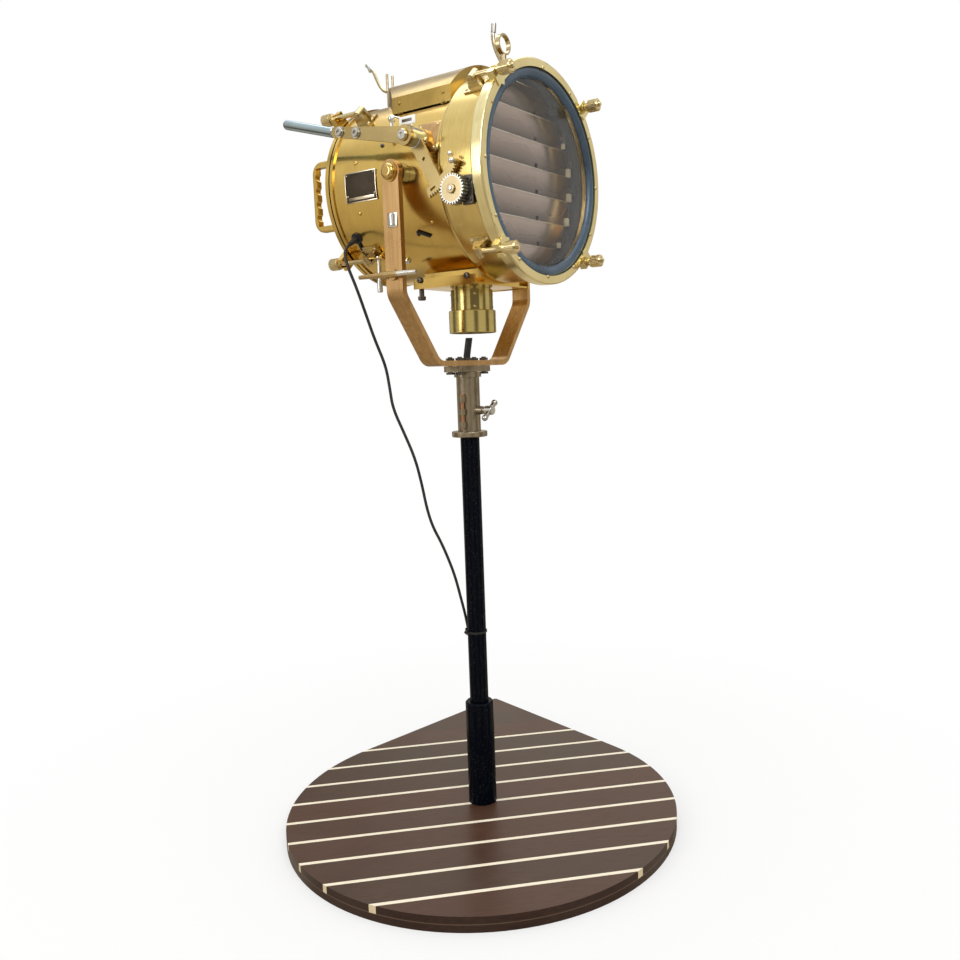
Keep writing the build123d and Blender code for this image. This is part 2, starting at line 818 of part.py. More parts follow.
# Front door: a ring with four slotted tongues, the glass, and the bezel that holds it
with BuildPart() as door_ring:
    with BuildSketch(side_plane()) as ring_profile:
        with BuildLine():
            Polyline(
                (door_back, door_lip_radius),
                (door_back, door_radius),
                (door_front, door_radius),
                (door_front, door_bore_radius),
                (door_back + door_lip_thickness, door_bore_radius),
                (door_back + door_lip_thickness, door_lip_radius),
                close=True,
            )
        make_face()
        fillet(ring_profile.vertices().group_by(Axis.Y)[-1], door_edge_radius)
    revolve(axis=beam_axis)
    with BuildSketch(front_plane(front_tongue_face)):
        with PolarLocations(0, len(clamp_angles), start_angle=clamp_angles[0]):
            with Locations((front_clamp_radius + tongue_past_bolt, 0)):
                Rectangle(tongue_width, tongue_width, align=(Align.MAX, Align.CENTER))
    extrude(amount=-tongue_thickness)
    with BuildSketch(front_plane(door_front)):
        with PolarLocations(0, len(clamp_angles), start_angle=clamp_angles[0]):
            Polygon(
                (tongue_point, 0),
                (tongue_point + tongue_width / 2, tongue_width / 2),
                (front_clamp_radius, tongue_width / 2),
                (front_clamp_radius, -tongue_width / 2),
                (tongue_point + tongue_width / 2, -tongue_width / 2),
                align=None,
            )
    extrude(amount=tongue_raise)
    with BuildSketch(front_plane(front_tongue_face)):
        with PolarLocations(0, len(clamp_angles), start_angle=clamp_angles[0]):
            with Locations((front_clamp_radius - tongue_slot / 2, 0)):
                Rectangle(2 * tongue_slot, tongue_slot, align=(Align.MIN, Align.CENTER))
    extrude(amount=-2 * tongue_thickness, mode=Mode.SUBTRACT)
keep(door_ring, "door_ring")

with BuildPart() as front_glass:
    with BuildSketch(front_plane(glass_back)):
        Circle(glass_radius)
    extrude(amount=glass_thickness)
keep(front_glass, "front_glass")

bezel_outer = door_bore_radius - seat_gap
with BuildPart() as bezel_ring:
    with BuildSketch(side_plane()):
        with BuildLine():
            Polyline(
                (bezel_back + 1.5, bezel_inner_radius),
                (bezel_back, bezel_inner_radius),
                (bezel_back, bezel_outer),
                (bezel_front - 2.5, bezel_outer),
            )
            ThreePointArc(
                (bezel_front - 2.5, bezel_outer),
                (bezel_front, bezel_outer - 5),
                (bezel_back + 1.5, bezel_inner_radius),
            )
        make_face()
    revolve(axis=beam_axis)
keep(bezel_ring, "bezel_ring")

# Shutter frame: a ring inside the housing with a bearing block at each end of each vane
with BuildPart() as shutter_frame:
    with BuildSketch(front_plane(vane_axis - frame_depth / 2)):
        Circle(frame_outer)
        Circle(frame_inner, mode=Mode.SUBTRACT)
    extrude(amount=frame_depth)
    with BuildSketch(front_plane(vane_axis - bearing_depth / 2)):
        for height, rod_end in zip(vane_heights, rod_ends):
            for side in (-1, 1):
                with Locations((side * (rod_end + bearing_length), height)):
                    Rectangle(4 * bearing_length, bearing_height)
        Circle(frame_outer, mode=Mode.INTERSECT)
    extrude(amount=bearing_depth)
    with BuildSketch(Plane.YZ):
        for height in vane_heights:
            with Locations((-vane_axis, trunnion_height + height)):
                Circle(vane_rod_radius + running_gap)
    extrude(amount=housing_radius, both=True, mode=Mode.SUBTRACT)
    with BuildSketch(side_plane()):
        with Locations((pinion_forward, pinion_up)):
            Circle(pinion_shaft_radius + running_gap)
    extrude(amount=housing_radius, mode=Mode.SUBTRACT)
keep(shutter_frame, "shutter_frame")

# Vanes: each has a pivot rod, a notch for the link bar and a cranked lug with a pin
chord_turn = math.radians(vane_rest_angle)
chord_way = (0, math.cos(chord_turn), math.sin(chord_turn))
crank_turn = math.radians(link_crank_angle)
crank_pin = (link_crank * math.cos(crank_turn), link_crank * math.sin(crank_turn))
lug_start = link_offset - link_thickness / 2 - link_lug_thickness - link_thickness
for k, (height, rod_end) in enumerate(zip(vane_heights, rod_ends)):
    pivot = (0, -vane_axis, trunnion_height + height)
    pin_place = (pivot[1] + crank_pin[0], pivot[2] + crank_pin[1])
    bearing_face = rod_end - bearing_length
    vane_plane = Plane(origin=pivot, x_dir=(1, 0, 0), z_dir=(0, -chord_way[2], chord_way[1]))
    front_side = math.copysign(1, chord_way[2])
    lug_roots = [(pivot[1] - s * chord_way[1], pivot[2] - s * chord_way[2]) for s in (9.5, 21.0)]
    lug_tips = [
        (pin_place[0] - s * chord_way[1], pin_place[1] - s * chord_way[2])
        for s in (link_lug_radius, -link_lug_radius)
    ]
    with BuildPart() as vane:
        with BuildSketch(vane_plane):
            Rectangle(2 * (bearing_face - bearing_clear), vane_chord)
            with Locations((0, -height)):
                Circle(vane_reach, mode=Mode.INTERSECT)
            with Locations((link_offset, -link_notch_depth)):
                Rectangle(link_notch_width, vane_chord, align=(Align.CENTER, Align.MAX), mode=Mode.SUBTRACT)
        extrude(amount=vane_thickness / 2, both=True)
        with BuildSketch(Plane.YZ):
            with Locations(pivot[1:]):
                Circle(vane_rod_radius)
        extrude(amount=rod_end)
        if k == driven_vane:
            with BuildSketch(side_plane(bearing_face - 3 * bearing_clear)):
                with Locations((pinion_forward, pinion_up)):
                    Circle(pinion_shaft_radius)
            extrude(amount=pinion_inner + pinion_width - bearing_face + 3 * bearing_clear)
            rod_end = bearing_face - bearing_clear
        with BuildSketch(Plane.YZ):
            with Locations(pivot[1:]):
                Circle(vane_rod_radius)
        extrude(amount=-rod_end)
        with BuildSketch(vane_plane.offset(front_side * vane_thickness / 2)):
            Rectangle(2 * (bearing_face - bearing_clear), 4 * vane_rod_radius)
        extrude(amount=front_side * 2 * vane_rod_radius, mode=Mode.SUBTRACT)
        with BuildSketch(Plane.YZ.offset(lug_start)):
            Polygon(*lug_roots, *lug_tips, align=None)
            with Locations(pin_place):
                Circle(link_lug_radius)
        extrude(amount=link_lug_thickness)
        with BuildSketch(Plane.YZ.offset(lug_start)):
            with Locations(pin_place):
                Circle(link_pin_radius)
        extrude(amount=link_lug_thickness + 2.5 * link_thickness)
    keep(vane, f"vane_{k + 1}")

# Link bar that makes the vanes turn together
with BuildPart() as link_bar:
    with BuildSketch(Plane.YZ.offset(link_offset - link_thickness / 2)):
        with Locations((-vane_axis + crank_pin[0], trunnion_height + crank_pin[1])):
            SlotCenterToCenter((vane_count - 1) * vane_pitch, link_width, rotation=90)
        for height in vane_heights:
            with Locations((-vane_axis + crank_pin[0], trunnion_height + height + crank_pin[1])):
                Circle(link_pin_radius + running_gap, mode=Mode.SUBTRACT)
    extrude(amount=link_thickness)
keep(link_bar, "link_bar")


def involute(angle):
    """The involute function of an angle in radians."""
    return math.tan(angle) - angle


def gear_radii(teeth):
    """The radii at which a tooth's flank is drawn: root, base where it is above the root, pitch and tip."""
    pitch = gear_module * teeth / 2
    base = pitch * math.cos(math.radians(pressure_angle))
    root = pitch - 1.25 * gear_module
    return [radius for radius in (root, base, pitch, pitch + gear_module) if radius >= root]


def tooth_points(teeth, middle):
    """The outline of one tooth of a gear about the origin, root to root, its middle at this angle in degrees."""
    pitch = gear_module * teeth / 2
    base = pitch * math.cos(math.radians(pressure_angle))
    widest = math.pi / (2 * teeth) - backlash / (2 * pitch) + involute(math.radians(pressure_angle))
    flank = [
        (radius, widest - involute(math.acos(min(1.0, base / radius)))) for radius in gear_radii(teeth)
    ]
    turn = math.radians(middle)
    rising = [(r * math.cos(turn - half), r * math.sin(turn - half)) for r, half in flank]
    falling = [(r * math.cos(turn + half), r * math.sin(turn + half)) for r, half in reversed(flank)]
    return rising + falling


# Pinion on the driven vane's shaft, with a tooth on the line of centres
pinion_outline = []
for k in range(pinion_teeth):
    pinion_outline += tooth_points(pinion_teeth, 180.0 - mesh_angle + k * 360.0 / pinion_teeth)
with BuildPart() as shutter_pinion:
    with BuildSketch(side_plane(pinion_inner)):
        with Locations((pinion_forward, pinion_up)):
            Polygon(*pinion_outline, align=None)
            Circle(pinion_shaft_radius + running_gap, mode=Mode.SUBTRACT)
    extrude(amount=pinion_width)
    with BuildSketch(side_plane(pinion_inner + pinion_width + seat_gap)):
        with Locations((pinion_forward, pinion_up)):
            Circle(pinion_cap_radius)
    extrude(amount=pinion_cap_height)
    fillet(shutter_pinion.faces().sort_by(Axis.X)[0].edges(), pinion_cap_height / 2)
keep(shutter_pinion, "shutter_pinion")

# Signal lever: hub, toothed sector and handle bar, with a gap of the sector on the line of centres
sector_pitch_angle = 360.0 / sector_full_teeth
sector_outline = [(0, 0)]
for k in range(sector_teeth):
    sector_outline += tooth_points(
        sector_full_teeth, -mesh_angle + (k - sector_teeth / 2 - 0.5) * sector_pitch_angle
    )
sector_rim_inner = gear_radii(sector_full_teeth)[0] - sector_rim
lever_place = (lever_forward, lever_up)
slot_turn = math.radians(sector_slot[1])
bar_length = math.dist(lever_place, bar_tip)
bar_side = ((bar_tip[1] - lever_up) / bar_length / 2, (lever_forward - bar_tip[0]) / bar_length / 2)
with BuildPart() as signal_lever:
    with BuildSketch(side_plane(sector_inner)):
        with Locations(lever_place):
            Polygon(*sector_outline, align=None)
            Circle(sector_rim_inner, mode=Mode.SUBTRACT)
        with Locations(Location((*lever_place, 0), (0, 0, sector_arm_angle))):
            Rectangle(
                sector_rim_inner + sector_rim / 2, sector_arm_width, align=(Align.MIN, Align.CENTER)
            )
            with Locations((sector_arm_hole[0], 0)):
                Circle(sector_arm_hole[1], mode=Mode.SUBTRACT)
        slot_place = (
            lever_forward + sector_slot[0] * math.cos(slot_turn),
            lever_up + sector_slot[0] * math.sin(slot_turn),
        )
        with Locations(slot_place):
            SlotOverall(sector_slot_length, sector_slot_width, rotation=sector_slot[1] + 90, mode=Mode.SUBTRACT)
    extrude(amount=sector_thickness)
    with BuildSketch(side_plane(hub_inner)):
        with Locations(lever_place):
            Circle(hub_radius)
    extrude(amount=hub_outer - hub_inner)
    with BuildSketch(side_plane(hub_outer - bar_thickness)):
        Polygon(
            (lever_forward + bar_side[0] * bar_root_width, lever_up + bar_side[1] * bar_root_width),
            (bar_tip[0] + bar_side[0] * bar_tip_width, bar_tip[1] + bar_side[1] * bar_tip_width),
            (bar_tip[0] - bar_side[0] * bar_tip_width, bar_tip[1] - bar_side[1] * bar_tip_width),
            (lever_forward - bar_side[0] * bar_root_width, lever_up - bar_side[1] * bar_root_width),
            align=None,
        )
        with Locations(bar_tip):
            Circle(bar_tip_width / 2)
        with Locations(*lever_bolt_places):
            Circle(lever_bolt_radius + running_gap, mode=Mode.SUBTRACT)
    extrude(amount=bar_thickness)
    with BuildSketch(side_plane(hub_inner)):
        with Locations(lever_place):
            Circle(lever_pin_radius + running_gap)
    extrude(amount=hub_outer - hub_inner, mode=Mode.SUBTRACT)
keep(signal_lever, "signal_lever")

# Lever bracket: a boss on the drum with the lever's pivot pin
with BuildPart() as lever_bracket:
    with BuildSketch(side_plane()):
        with Locations(lever_place):
            Circle(lever_bracket_radius)
    extrude(amount=hub_inner - seat_gap)
    with BuildSketch(front_plane(drum_rear)):
        Circle(sleeve_inner)
    extrude(amount=housing_front - drum_rear, mode=Mode.SUBTRACT)
    with BuildSketch(side_plane(hub_inner - seat_gap)):
        with Locations(lever_place):
            Circle(lever_pin_radius)
    extrude(amount=hub_outer - hub_inner + 2 * seat_gap)
    with BuildSketch(side_plane(hub_outer + seat_gap)):
        with Locations(lever_place):
            Circle(lever_pin_head_radius)
    extrude(amount=lever_pin_head_height)
    fillet(lever_bracket.faces().sort_by(Axis.X)[0].edges(), lever_pin_head_height / 2)
keep(lever_bracket, "lever_bracket")

# Lever handle: a round rod with a flat tang that is bolted behind the bar
tang_outer = hub_outer - bar_thickness - seat_gap
tang_middle = tang_outer - handle_tang_thickness / 2
handle_run = math.dist(handle_neck, handle_tip)
handle_way = ((handle_tip[0] - handle_neck[0]) / handle_run, (handle_tip[1] - handle_neck[1]) / handle_run)
with BuildPart() as lever_handle:
    rod_plane = Plane(
        origin=(-tang_middle, -handle_neck[0], trunnion_height + handle_neck[1]),
        z_dir=(0, -handle_way[0], handle_way[1]),
    )
    with BuildSketch(rod_plane):
        Circle(handle_radius)
    extrude(amount=handle_run)
    fillet(lever_handle.faces().sort_by(Axis.Y)[-1].edges(), 0.8 * handle_radius)
    chamfer(lever_handle.faces().sort_by(Axis.Y)[0].edges(), 1.5)
    with BuildSketch(side_plane(tang_outer - handle_tang_thickness)):
        tang_length = math.dist(handle_root, handle_neck)
        tang_turn = math.degrees(
            math.atan2(handle_neck[1] - handle_root[1], handle_neck[0] - handle_root[0])
        )
        with Locations(Location((*handle_root, 0), (0, 0, tang_turn))):
            Rectangle(tang_length + 4, handle_tang_width, align=(Align.MIN, Align.CENTER))
        with Locations(*lever_bolt_places):
            Circle(lever_bolt_radius + running_gap, mode=Mode.SUBTRACT)
    extrude(amount=handle_tang_thickness)
keep(lever_handle, "lever_handle")

with BuildPart() as lever_bolts:
    with BuildSketch(side_plane(tang_outer - handle_tang_thickness)):
        with Locations(*lever_bolt_places):
            Circle(lever_bolt_radius)
    extrude(amount=hub_outer + seat_gap - tang_outer + handle_tang_thickness)
    with BuildSketch(side_plane(hub_outer + seat_gap)):
        with Locations(*lever_bolt_places):
            RegularPolygon(lever_bolt_head_radius, 6)
    extrude(amount=lever_bolt_head_height)
keep(lever_bolts, "lever_bolts")


def swing_bolt(name, angle, reach, pivot, face, way):
    """A swing bolt with its knob. It points forward where way is 1 and rearward where it is -1."""
    turn = math.radians(angle)
    bolt_axis = Axis(
        (reach * math.cos(turn), 0, trunnion_height + reach * math.sin(turn)), (0, -1, 0)
    )
    start = face + way * wear_gap
    knob_start = start + way * knob_collar_length
    knob_end = knob_start + way * knob_length
    with BuildPart() as bolt:
        with BuildSketch(radial_plane(angle)):
            with BuildLine():
                Polyline(
                    (pivot, reach),
                    (pivot, reach + swing_bolt_radius),
                    (start, reach + swing_bolt_radius),
                    (start, reach + knob_collar_radius),
                    (knob_start, reach + knob_collar_radius),
                    (knob_start + way, reach + knob_radius),
                    (knob_end - 2 * way, reach + knob_radius),
                    (knob_end, reach + knob_radius - 2),
                    (knob_end, reach + swing_bolt_radius),
                    (knob_end + way * bolt_tail, reach + swing_bolt_radius - 1),
                    (knob_end + way * bolt_tail, reach),
                    close=True,
                )
            make_face()
        revolve(axis=bolt_axis)
        with BuildSketch(radial_plane(angle)):
            with Locations((pivot, reach)):
                Circle(swing_eye_radius)
        extrude(amount=swing_eye_width / 2, both=True)
        with BuildSketch(radial_plane(angle)):
            with Locations((pivot, reach)):
                Circle(swing_pin_radius + running_gap)
        extrude(amount=swing_eye_width, both=True, mode=Mode.SUBTRACT)
    keep(bolt, name)


for name, angle in zip(clamp_names, clamp_angles):
    swing_bolt(f"front_clamp_{name}", angle, front_clamp_radius, front_clamp_pivot, front_tongue_face, 1)
    swing_bolt(f"rear_clamp_{name}", angle, rear_clamp_radius, rear_clamp_pivot, rear_tongue_face, -1)

# Clamp lugs: curved foot plates with two ears and a pin, on the housing and on the drum
plate_half = math.degrees(lug_plate_width / 2 / drum_radius)
ear_start = swing_eye_width / 2 + seat_gap
with BuildPart() as clamp_lugs:
    for seat, reach, pivot in (
        (housing_radius + seat_gap, front_clamp_radius, front_clamp_pivot),
        (drum_radius + seat_gap, rear_clamp_radius, rear_clamp_pivot),
    ):
        for angle in clamp_angles:
            with BuildSketch(radial_plane(angle - plate_half)):
                with Locations((pivot, seat + lug_plate_thickness / 2)):
                    Rectangle(lug_plate_length, lug_plate_thickness)
            revolve(axis=beam_axis, revolution_arc=2 * plate_half)
            for side in (-1, 1):
                with BuildSketch(radial_plane(angle).offset(side * ear_start)):
                    Polygon(
                        (pivot - lug_plate_length / 3, seat + lug_plate_thickness / 2),
                        (pivot + lug_plate_length / 3, seat + lug_plate_thickness / 2),
                        (pivot + swing_eye_radius, reach),
                        (pivot - swing_eye_radius, reach),
                        align=None,
                    )
                    with Locations((pivot, reach)):
                        Circle(swing_eye_radius)
                extrude(amount=side * lug_ear_thickness)
            with BuildSketch(radial_plane(angle)):
                with Locations((pivot, reach)):
                    Circle(swing_pin_radius)
            extrude(amount=ear_start + lug_ear_thickness + 1.5, both=True)
keep(clamp_lugs, "clamp_lugs")

# Vent hood: an arched cap over the drum's vent holes, open underneath
hood_rear_x, hood_rear_run = hood_rear_corner


def hood_solid(inset):
    """The hood's outer form, or the hollow in it where inset is the wall."""
    half = hood_half_width - inset
    front = hood_front - inset
    rear = hood_rear + inset
    with BuildPart() as solid:
        with BuildSketch(front_plane(hood_rear)):
            with BuildLine():
                Polyline(
                    (half, hood_side_high - inset),
                    (half, hood_side_low - 2 * inset),
                    (-half, hood_side_low - 2 * inset),
                    (-half, hood_side_high - inset),
                )
                ThreePointArc((-half, hood_side_high - inset), (0, hood_crown - inset), (half, hood_side_high - inset))
            make_face()
        extrude(amount=hood_front - hood_rear)
        with BuildSketch(Plane.XY.offset(trunnion_height)):
            Polygon(
                (half, -front),
                (half, -rear - hood_rear_run),
                (half - hood_rear_x, -rear),
                (-half + hood_rear_x, -rear),
                (-half, -rear - hood_rear_run),
                (-half, -front),
                align=None,
            )
        extrude(amount=2 * hood_crown, mode=Mode.INTERSECT)
    return solid.part


with BuildPart() as vent_hood:
    add(hood_solid(0))
    add(hood_solid(hood_wall), mode=Mode.SUBTRACT)
    with BuildSketch(front_plane(hood_rear)):
        Circle(drum_radius + hood_drum_gap)
    extrude(amount=hood_front - hood_rear, mode=Mode.SUBTRACT)
    with BuildSketch(Plane.XY.offset(trunnion_height + hood_foot_low)):
        for forward in hood_foot_forwards:
            for side in (-1, 1):
                with Locations((side * (hood_half_width - hood_foot_size / 2 - hood_wall / 2), -forward)):
                    Rectangle(hood_foot_size, hood_foot_size)
    extrude(amount=hood_side_high - hood_wall - hood_foot_low)
    with BuildSketch(front_plane(hood_rear)):
        Circle(drum_radius + seat_gap)
    extrude(amount=hood_front - hood_rear, mode=Mode.SUBTRACT)
keep(vent_hood, "vent_hood")

# Trunnions: a collared boss and shaft on each side of the drum, with a washer and a domed cap outside the yoke
boss_end = arm_inner - seat_gap
cap_start = yoke_half_span + seat_gap
with BuildPart() as trunnions:
    for side in (-1, 1):
        with BuildSketch(side_plane()):
            Circle(trunnion_boss_radius)
        extrude(amount=side * (boss_end - trunnion_collar_length))
        with BuildSketch(side_plane()):
            Circle(trunnion_collar_radius)
        extrude(amount=side * boss_end)
    with BuildSketch(front_plane(drum_rear)):
        Circle(drum_radius + seat_gap)
    extrude(amount=drum_front - drum_rear, mode=Mode.SUBTRACT)
    for side in (-1, 1):
        with BuildSketch(side_plane(side * boss_end)):
            Circle(trunnion_radius)
        extrude(amount=side * (cap_start - boss_end))
        with BuildSketch(side_plane(side * cap_start)):
            Circle(trunnion_washer_radius)
        extrude(amount=side * trunnion_washer_thickness)
        with BuildSketch(side_plane(side * (cap_start + trunnion_washer_thickness))):
            Circle(trunnion_cap_radius)
        extrude(amount=side * trunnion_cap_height)
    fillet(trunnions.edges().filter_by(GeomType.CIRCLE).group_by(Axis.X)[0], 0.8 * trunnion_cap_height)
    fillet(trunnions.edges().filter_by(GeomType.CIRCLE).group_by(Axis.X)[-1], 0.8 * trunnion_cap_height)
keep(trunnions, "trunnions")

# Reflector: a parabolic dish whose rim sits on the drum's front end
reflector_rim = drum_front + seat_gap + reflector_wall
reflector_vertex = reflector_rim - reflector_rim_radius**2 / (4 * reflector_focus)
dish_points = [
    (reflector_vertex + radius**2 / (4 * reflector_focus), radius)
    for radius in (reflector_hole_radius, reflector_rim_radius / 2, reflector_rim_radius)
]
with BuildPart() as reflector:
    with BuildSketch(side_plane()):
        with BuildLine():
            ThreePointArc(*dish_points)
            Polyline(
                dish_points[2],
                (reflector_rim, drum_radius - seat_gap),
                (reflector_rim - reflector_wall, drum_radius - seat_gap),
                (reflector_rim - reflector_wall, reflector_rim_radius),
            )
            ThreePointArc(*[(forward - reflector_wall, radius) for forward, radius in reversed(dish_points)])
            Line((dish_points[0][0] - reflector_wall, dish_points[0][1]), dish_points[0])
        make_face()
    revolve(axis=beam_axis)
keep(reflector, "reflector")

# Lamp, holder and focusing screw, which slide together along the beam
holder_front = holder_rear + holder_length
bulb_centre = reflector_vertex + reflector_focus
with BuildPart() as bulb:
    with BuildSketch(front_plane(holder_front + seat_gap)):
        Circle(bulb_neck_radius)
    extrude(amount=bulb_centre - holder_front - seat_gap)
    with Locations((0, -bulb_centre, trunnion_height)):
        Sphere(bulb_radius)
keep(bulb, "bulb")

with BuildPart() as lamp_holder:
    with BuildSketch(front_plane(holder_rear)):
        Circle(holder_radius)
    extrude(amount=holder_length)
    chamfer(lamp_holder.edges().filter_by(GeomType.CIRCLE), 2.0)
keep(lamp_holder, "lamp_holder")

knob_face = dish_back - rear_boss_length - focus_knob_gap
with BuildPart() as focus_screw:
    with BuildSketch(front_plane(holder_rear - seat_gap)):
        Circle(focus_rod_radius)
    extrude(amount=knob_face - holder_rear + seat_gap)
    with BuildSketch(front_plane(knob_face)):
        Circle(focus_knob_radius)
    extrude(amount=-focus_knob_length)
    chamfer(focus_screw.faces().sort_by(Axis.Y)[-1].edges(), 2.0)
keep(focus_screw, "focus_screw")

# Lamp box under the drum, with a rail along each side
box_length = box_front - box_rear
box_middle = -(box_front + box_rear) / 2
with BuildPart() as lamp_box:
    with BuildSketch(Plane.XY.offset(trunnion_height - box_drop)):
        with Locations((0, box_middle)):
            Rectangle(2 * rail_half_width, box_length)
    extrude(amount=cover_thickness)
    with BuildSketch(Plane.XY.offset(trunnion_height - box_drop)):
        with Locations((0, box_middle)):
            Rectangle(2 * box_half_width, box_length)
    extrude(amount=box_drop - drum_radius / 2)
    with BuildSketch(Plane.XY.offset(trunnion_height - box_drop + cover_thickness)):
        with Locations((0, box_middle)):
            Rectangle(2 * (box_half_width - box_wall), box_length - 2 * box_wall)
    extrude(amount=box_drop, mode=Mode.SUBTRACT)
    with BuildSketch(Plane.XY.offset(trunnion_height - box_drop)):
        with Locations((0, -base_forward)):
            Circle(wire_hole_radius)
    extrude(amount=cover_thickness, mode=Mode.SUBTRACT)
    for side in (-1, 1):
        with BuildSketch(Plane.XY.offset(trunnion_height - box_drop - 1)):
            with Locations((side * (rail_half_width + rail_thickness / 2), box_middle)):
                Rectangle(rail_thickness, box_length + 2)
        extrude(amount=rail_height)
    with BuildSketch(side_plane()):
        with BuildLine():
            Polyline(
                (drum_rear, 0),
                (drum_rear, sleeve_inner),
                (housing_rear - seat_gap, sleeve_inner),
                (housing_rear - seat_gap, sleeve_inner + housing_wall + seat_gap),
                (housing_shoulder - 12, sleeve_inner + housing_wall + seat_gap),
                (housing_shoulder, housing_radius + 2 * seat_gap),
                (housing_shoulder, 0),
                close=True,
            )
        make_face()
    revolve(axis=beam_axis, mode=Mode.SUBTRACT)
keep(lamp_box, "lamp_box")

# Lamp base housing: a stepped cup under the box, open below for the cable, with straps down its neck
base_top_drop = box_drop + seat_gap
with BuildPart() as lamp_base_housing:
    with BuildSketch(front_plane(base_forward)):
        with BuildLine():
            Polyline(
                (wire_hole_radius, -base_top_drop),
                (base_upper_radius, -base_top_drop),
                (base_upper_radius, -base_step_drop),
                (base_lower_radius, -base_step_drop),
                (base_lower_radius, -base_bottom_drop),
                (base_lower_radius - base_wall, -base_bottom_drop),
                (base_lower_radius - base_wall, -base_step_drop - base_wall),
                (base_upper_radius - base_wall, -base_step_drop - base_wall),
                (base_upper_radius - base_wall, -base_top_drop - base_wall),
                (wire_hole_radius, -base_top_drop - base_wall),
                close=True,
            )
        make_face()
    revolve(axis=Axis((0, -base_forward, 0), (0, 0, 1)))
    with BuildSketch(Plane.XY.offset(trunnion_height - base_step_drop)):
        with Locations((0, -base_forward)):
            with PolarLocations(base_upper_radius, strap_count, start_angle=45):
                Rectangle(2 * strap_thickness, strap_width)
    extrude(amount=base_step_drop - base_top_drop - 2)
    fillet(
        lamp_base_housing.edges().filter_by(GeomType.CIRCLE).sort_by(SortBy.RADIUS)[-2:], 1.5
    )
keep(lamp_base_housing, "lamp_base_housing")

# Nameplate, left bare
with BuildPart() as nameplate:
    with BuildSketch(radial_plane(plate_low_angle)):
        with Locations(((plate_front + plate_rear) / 2, drum_radius + seat_gap + plate_thickness / 2)):
            Rectangle(plate_front - plate_rear, plate_thickness)
    revolve(axis=beam_axis, revolution_arc=plate_high_angle - plate_low_angle)
    fillet(nameplate.edges().filter_by(GeomType.LINE).sort_by(SortBy.LENGTH)[:4], plate_margin)
keep(nameplate, "nameplate")

# Lead gland: a rubber grommet with a tapered strain relief
grommet_top = drum_radius + gland_ring_height
gland_tip = drum_radius + gland_reach
with BuildPart() as lead_gland:
    with BuildSketch(drum_plane(gland_angle, gland_forward, drum_radius - gland_ring_height)):
        Circle(gland_ring_radius)
    extrude(amount=2 * gland_ring_height)
    with BuildSketch(front_plane(drum_rear)):
        Circle(drum_radius + seat_gap)
    extrude(amount=drum_front - drum_rear, mode=Mode.SUBTRACT)
    with BuildSketch(drum_plane(gland_angle, gland_forward, grommet_top)):
        Circle(gland_boot_radius)
    with BuildSketch(drum_plane(gland_angle, gland_forward, gland_tip)):
        Circle(gland_boot_tip_radius)
    loft()
keep(lead_gland, "lead_gland")

# Front sight: a band ring on a post, with a curved horn
with BuildPart() as front_sight:
    with BuildSketch(Plane.XY.offset(trunnion_height + housing_radius - 2)):
        with Locations((0, -front_sight_forward)):
            Circle(front_sight_foot_radius)
    extrude(amount=6)
    with BuildSketch(front_plane(housing_rear)):
        Circle(housing_radius + seat_gap)
    extrude(amount=housing_front - housing_rear, mode=Mode.SUBTRACT)
    with BuildSketch(Plane.XY.offset(trunnion_height + housing_radius + 2)):
        with Locations((0, -front_sight_forward)):
            Circle(front_sight_post_radius)
    extrude(amount=front_sight_ring_height - front_sight_ring_radius - housing_radius - 2)
    with BuildSketch(side_plane()):
        with Locations((front_sight_forward, front_sight_ring_height - front_sight_ring_radius)):
            Rectangle(sight_band_width, sight_band_thickness)
    revolve(axis=Axis((0, -front_sight_forward, trunnion_height + front_sight_ring_height), (0, -1, 0)))
    with BuildLine(side_plane()) as horn_line:
        Spline(*((forward, housing_radius + rise) for forward, rise in front_sight_horn))
    with BuildSketch(Plane(origin=horn_line.line @ 0, z_dir=horn_line.line % 0)):
        Circle(front_horn_radius)
    sweep()
    with Locations(horn_line.line @ 1):
        Sphere(sight_tip_radius)
keep(front_sight, "front_sight")

# Rear sight: a fork on a bent strip, with a longer horn
rear_sight_back = rear_sight_forward - rear_sight_thickness
with BuildPart() as rear_sight:
    with BuildSketch(side_plane(-rear_sight_width / 2)):
        Polygon(
            (rear_sight_back + rear_sight_foot, drum_bead_radius + seat_gap),
            (rear_sight_back + rear_sight_foot, drum_bead_radius + seat_gap + rear_sight_thickness),
            (rear_sight_forward, drum_bead_radius + seat_gap + rear_sight_thickness),
            (rear_sight_forward, rear_sight_top),
            (rear_sight_back, rear_sight_top),
            (rear_sight_back, drum_bead_radius + seat_gap),
            align=None,
        )
        Polygon(
            (rear_sight_back + rear_sight_foot, drum_radius + seat_gap),
            (rear_sight_back + rear_sight_foot, drum_bead_radius + 1),
            (drum_rear + drum_bead_length + 1, drum_bead_radius + 1),
            (drum_rear + drum_bead_length + 1, drum_radius + seat_gap),
            align=None,
        )
    extrude(amount=rear_sight_width)
    with BuildSketch(Plane.XY.offset(trunnion_height + rear_sight_top - 4)):
        with Locations(
            (-rear_fork_half, -rear_sight_forward + rear_sight_thickness / 2),
            (rear_fork_half, -rear_sight_forward + rear_sight_thickness / 2),
        ):
            Circle(rear_fork_radius)
    extrude(amount=rear_fork_tip - rear_sight_top + 4)
    with BuildLine(side_plane()) as rear_horn_line:
        Spline(*rear_sight_horn)
    with BuildSketch(Plane(origin=rear_horn_line.line @ 0, z_dir=rear_horn_line.line % 0)):
        Circle(rear_horn_radius)
    sweep()
    with Locations(rear_horn_line.line @ 1):
        Sphere(sight_tip_radius)
keep(rear_sight, "rear_sight")

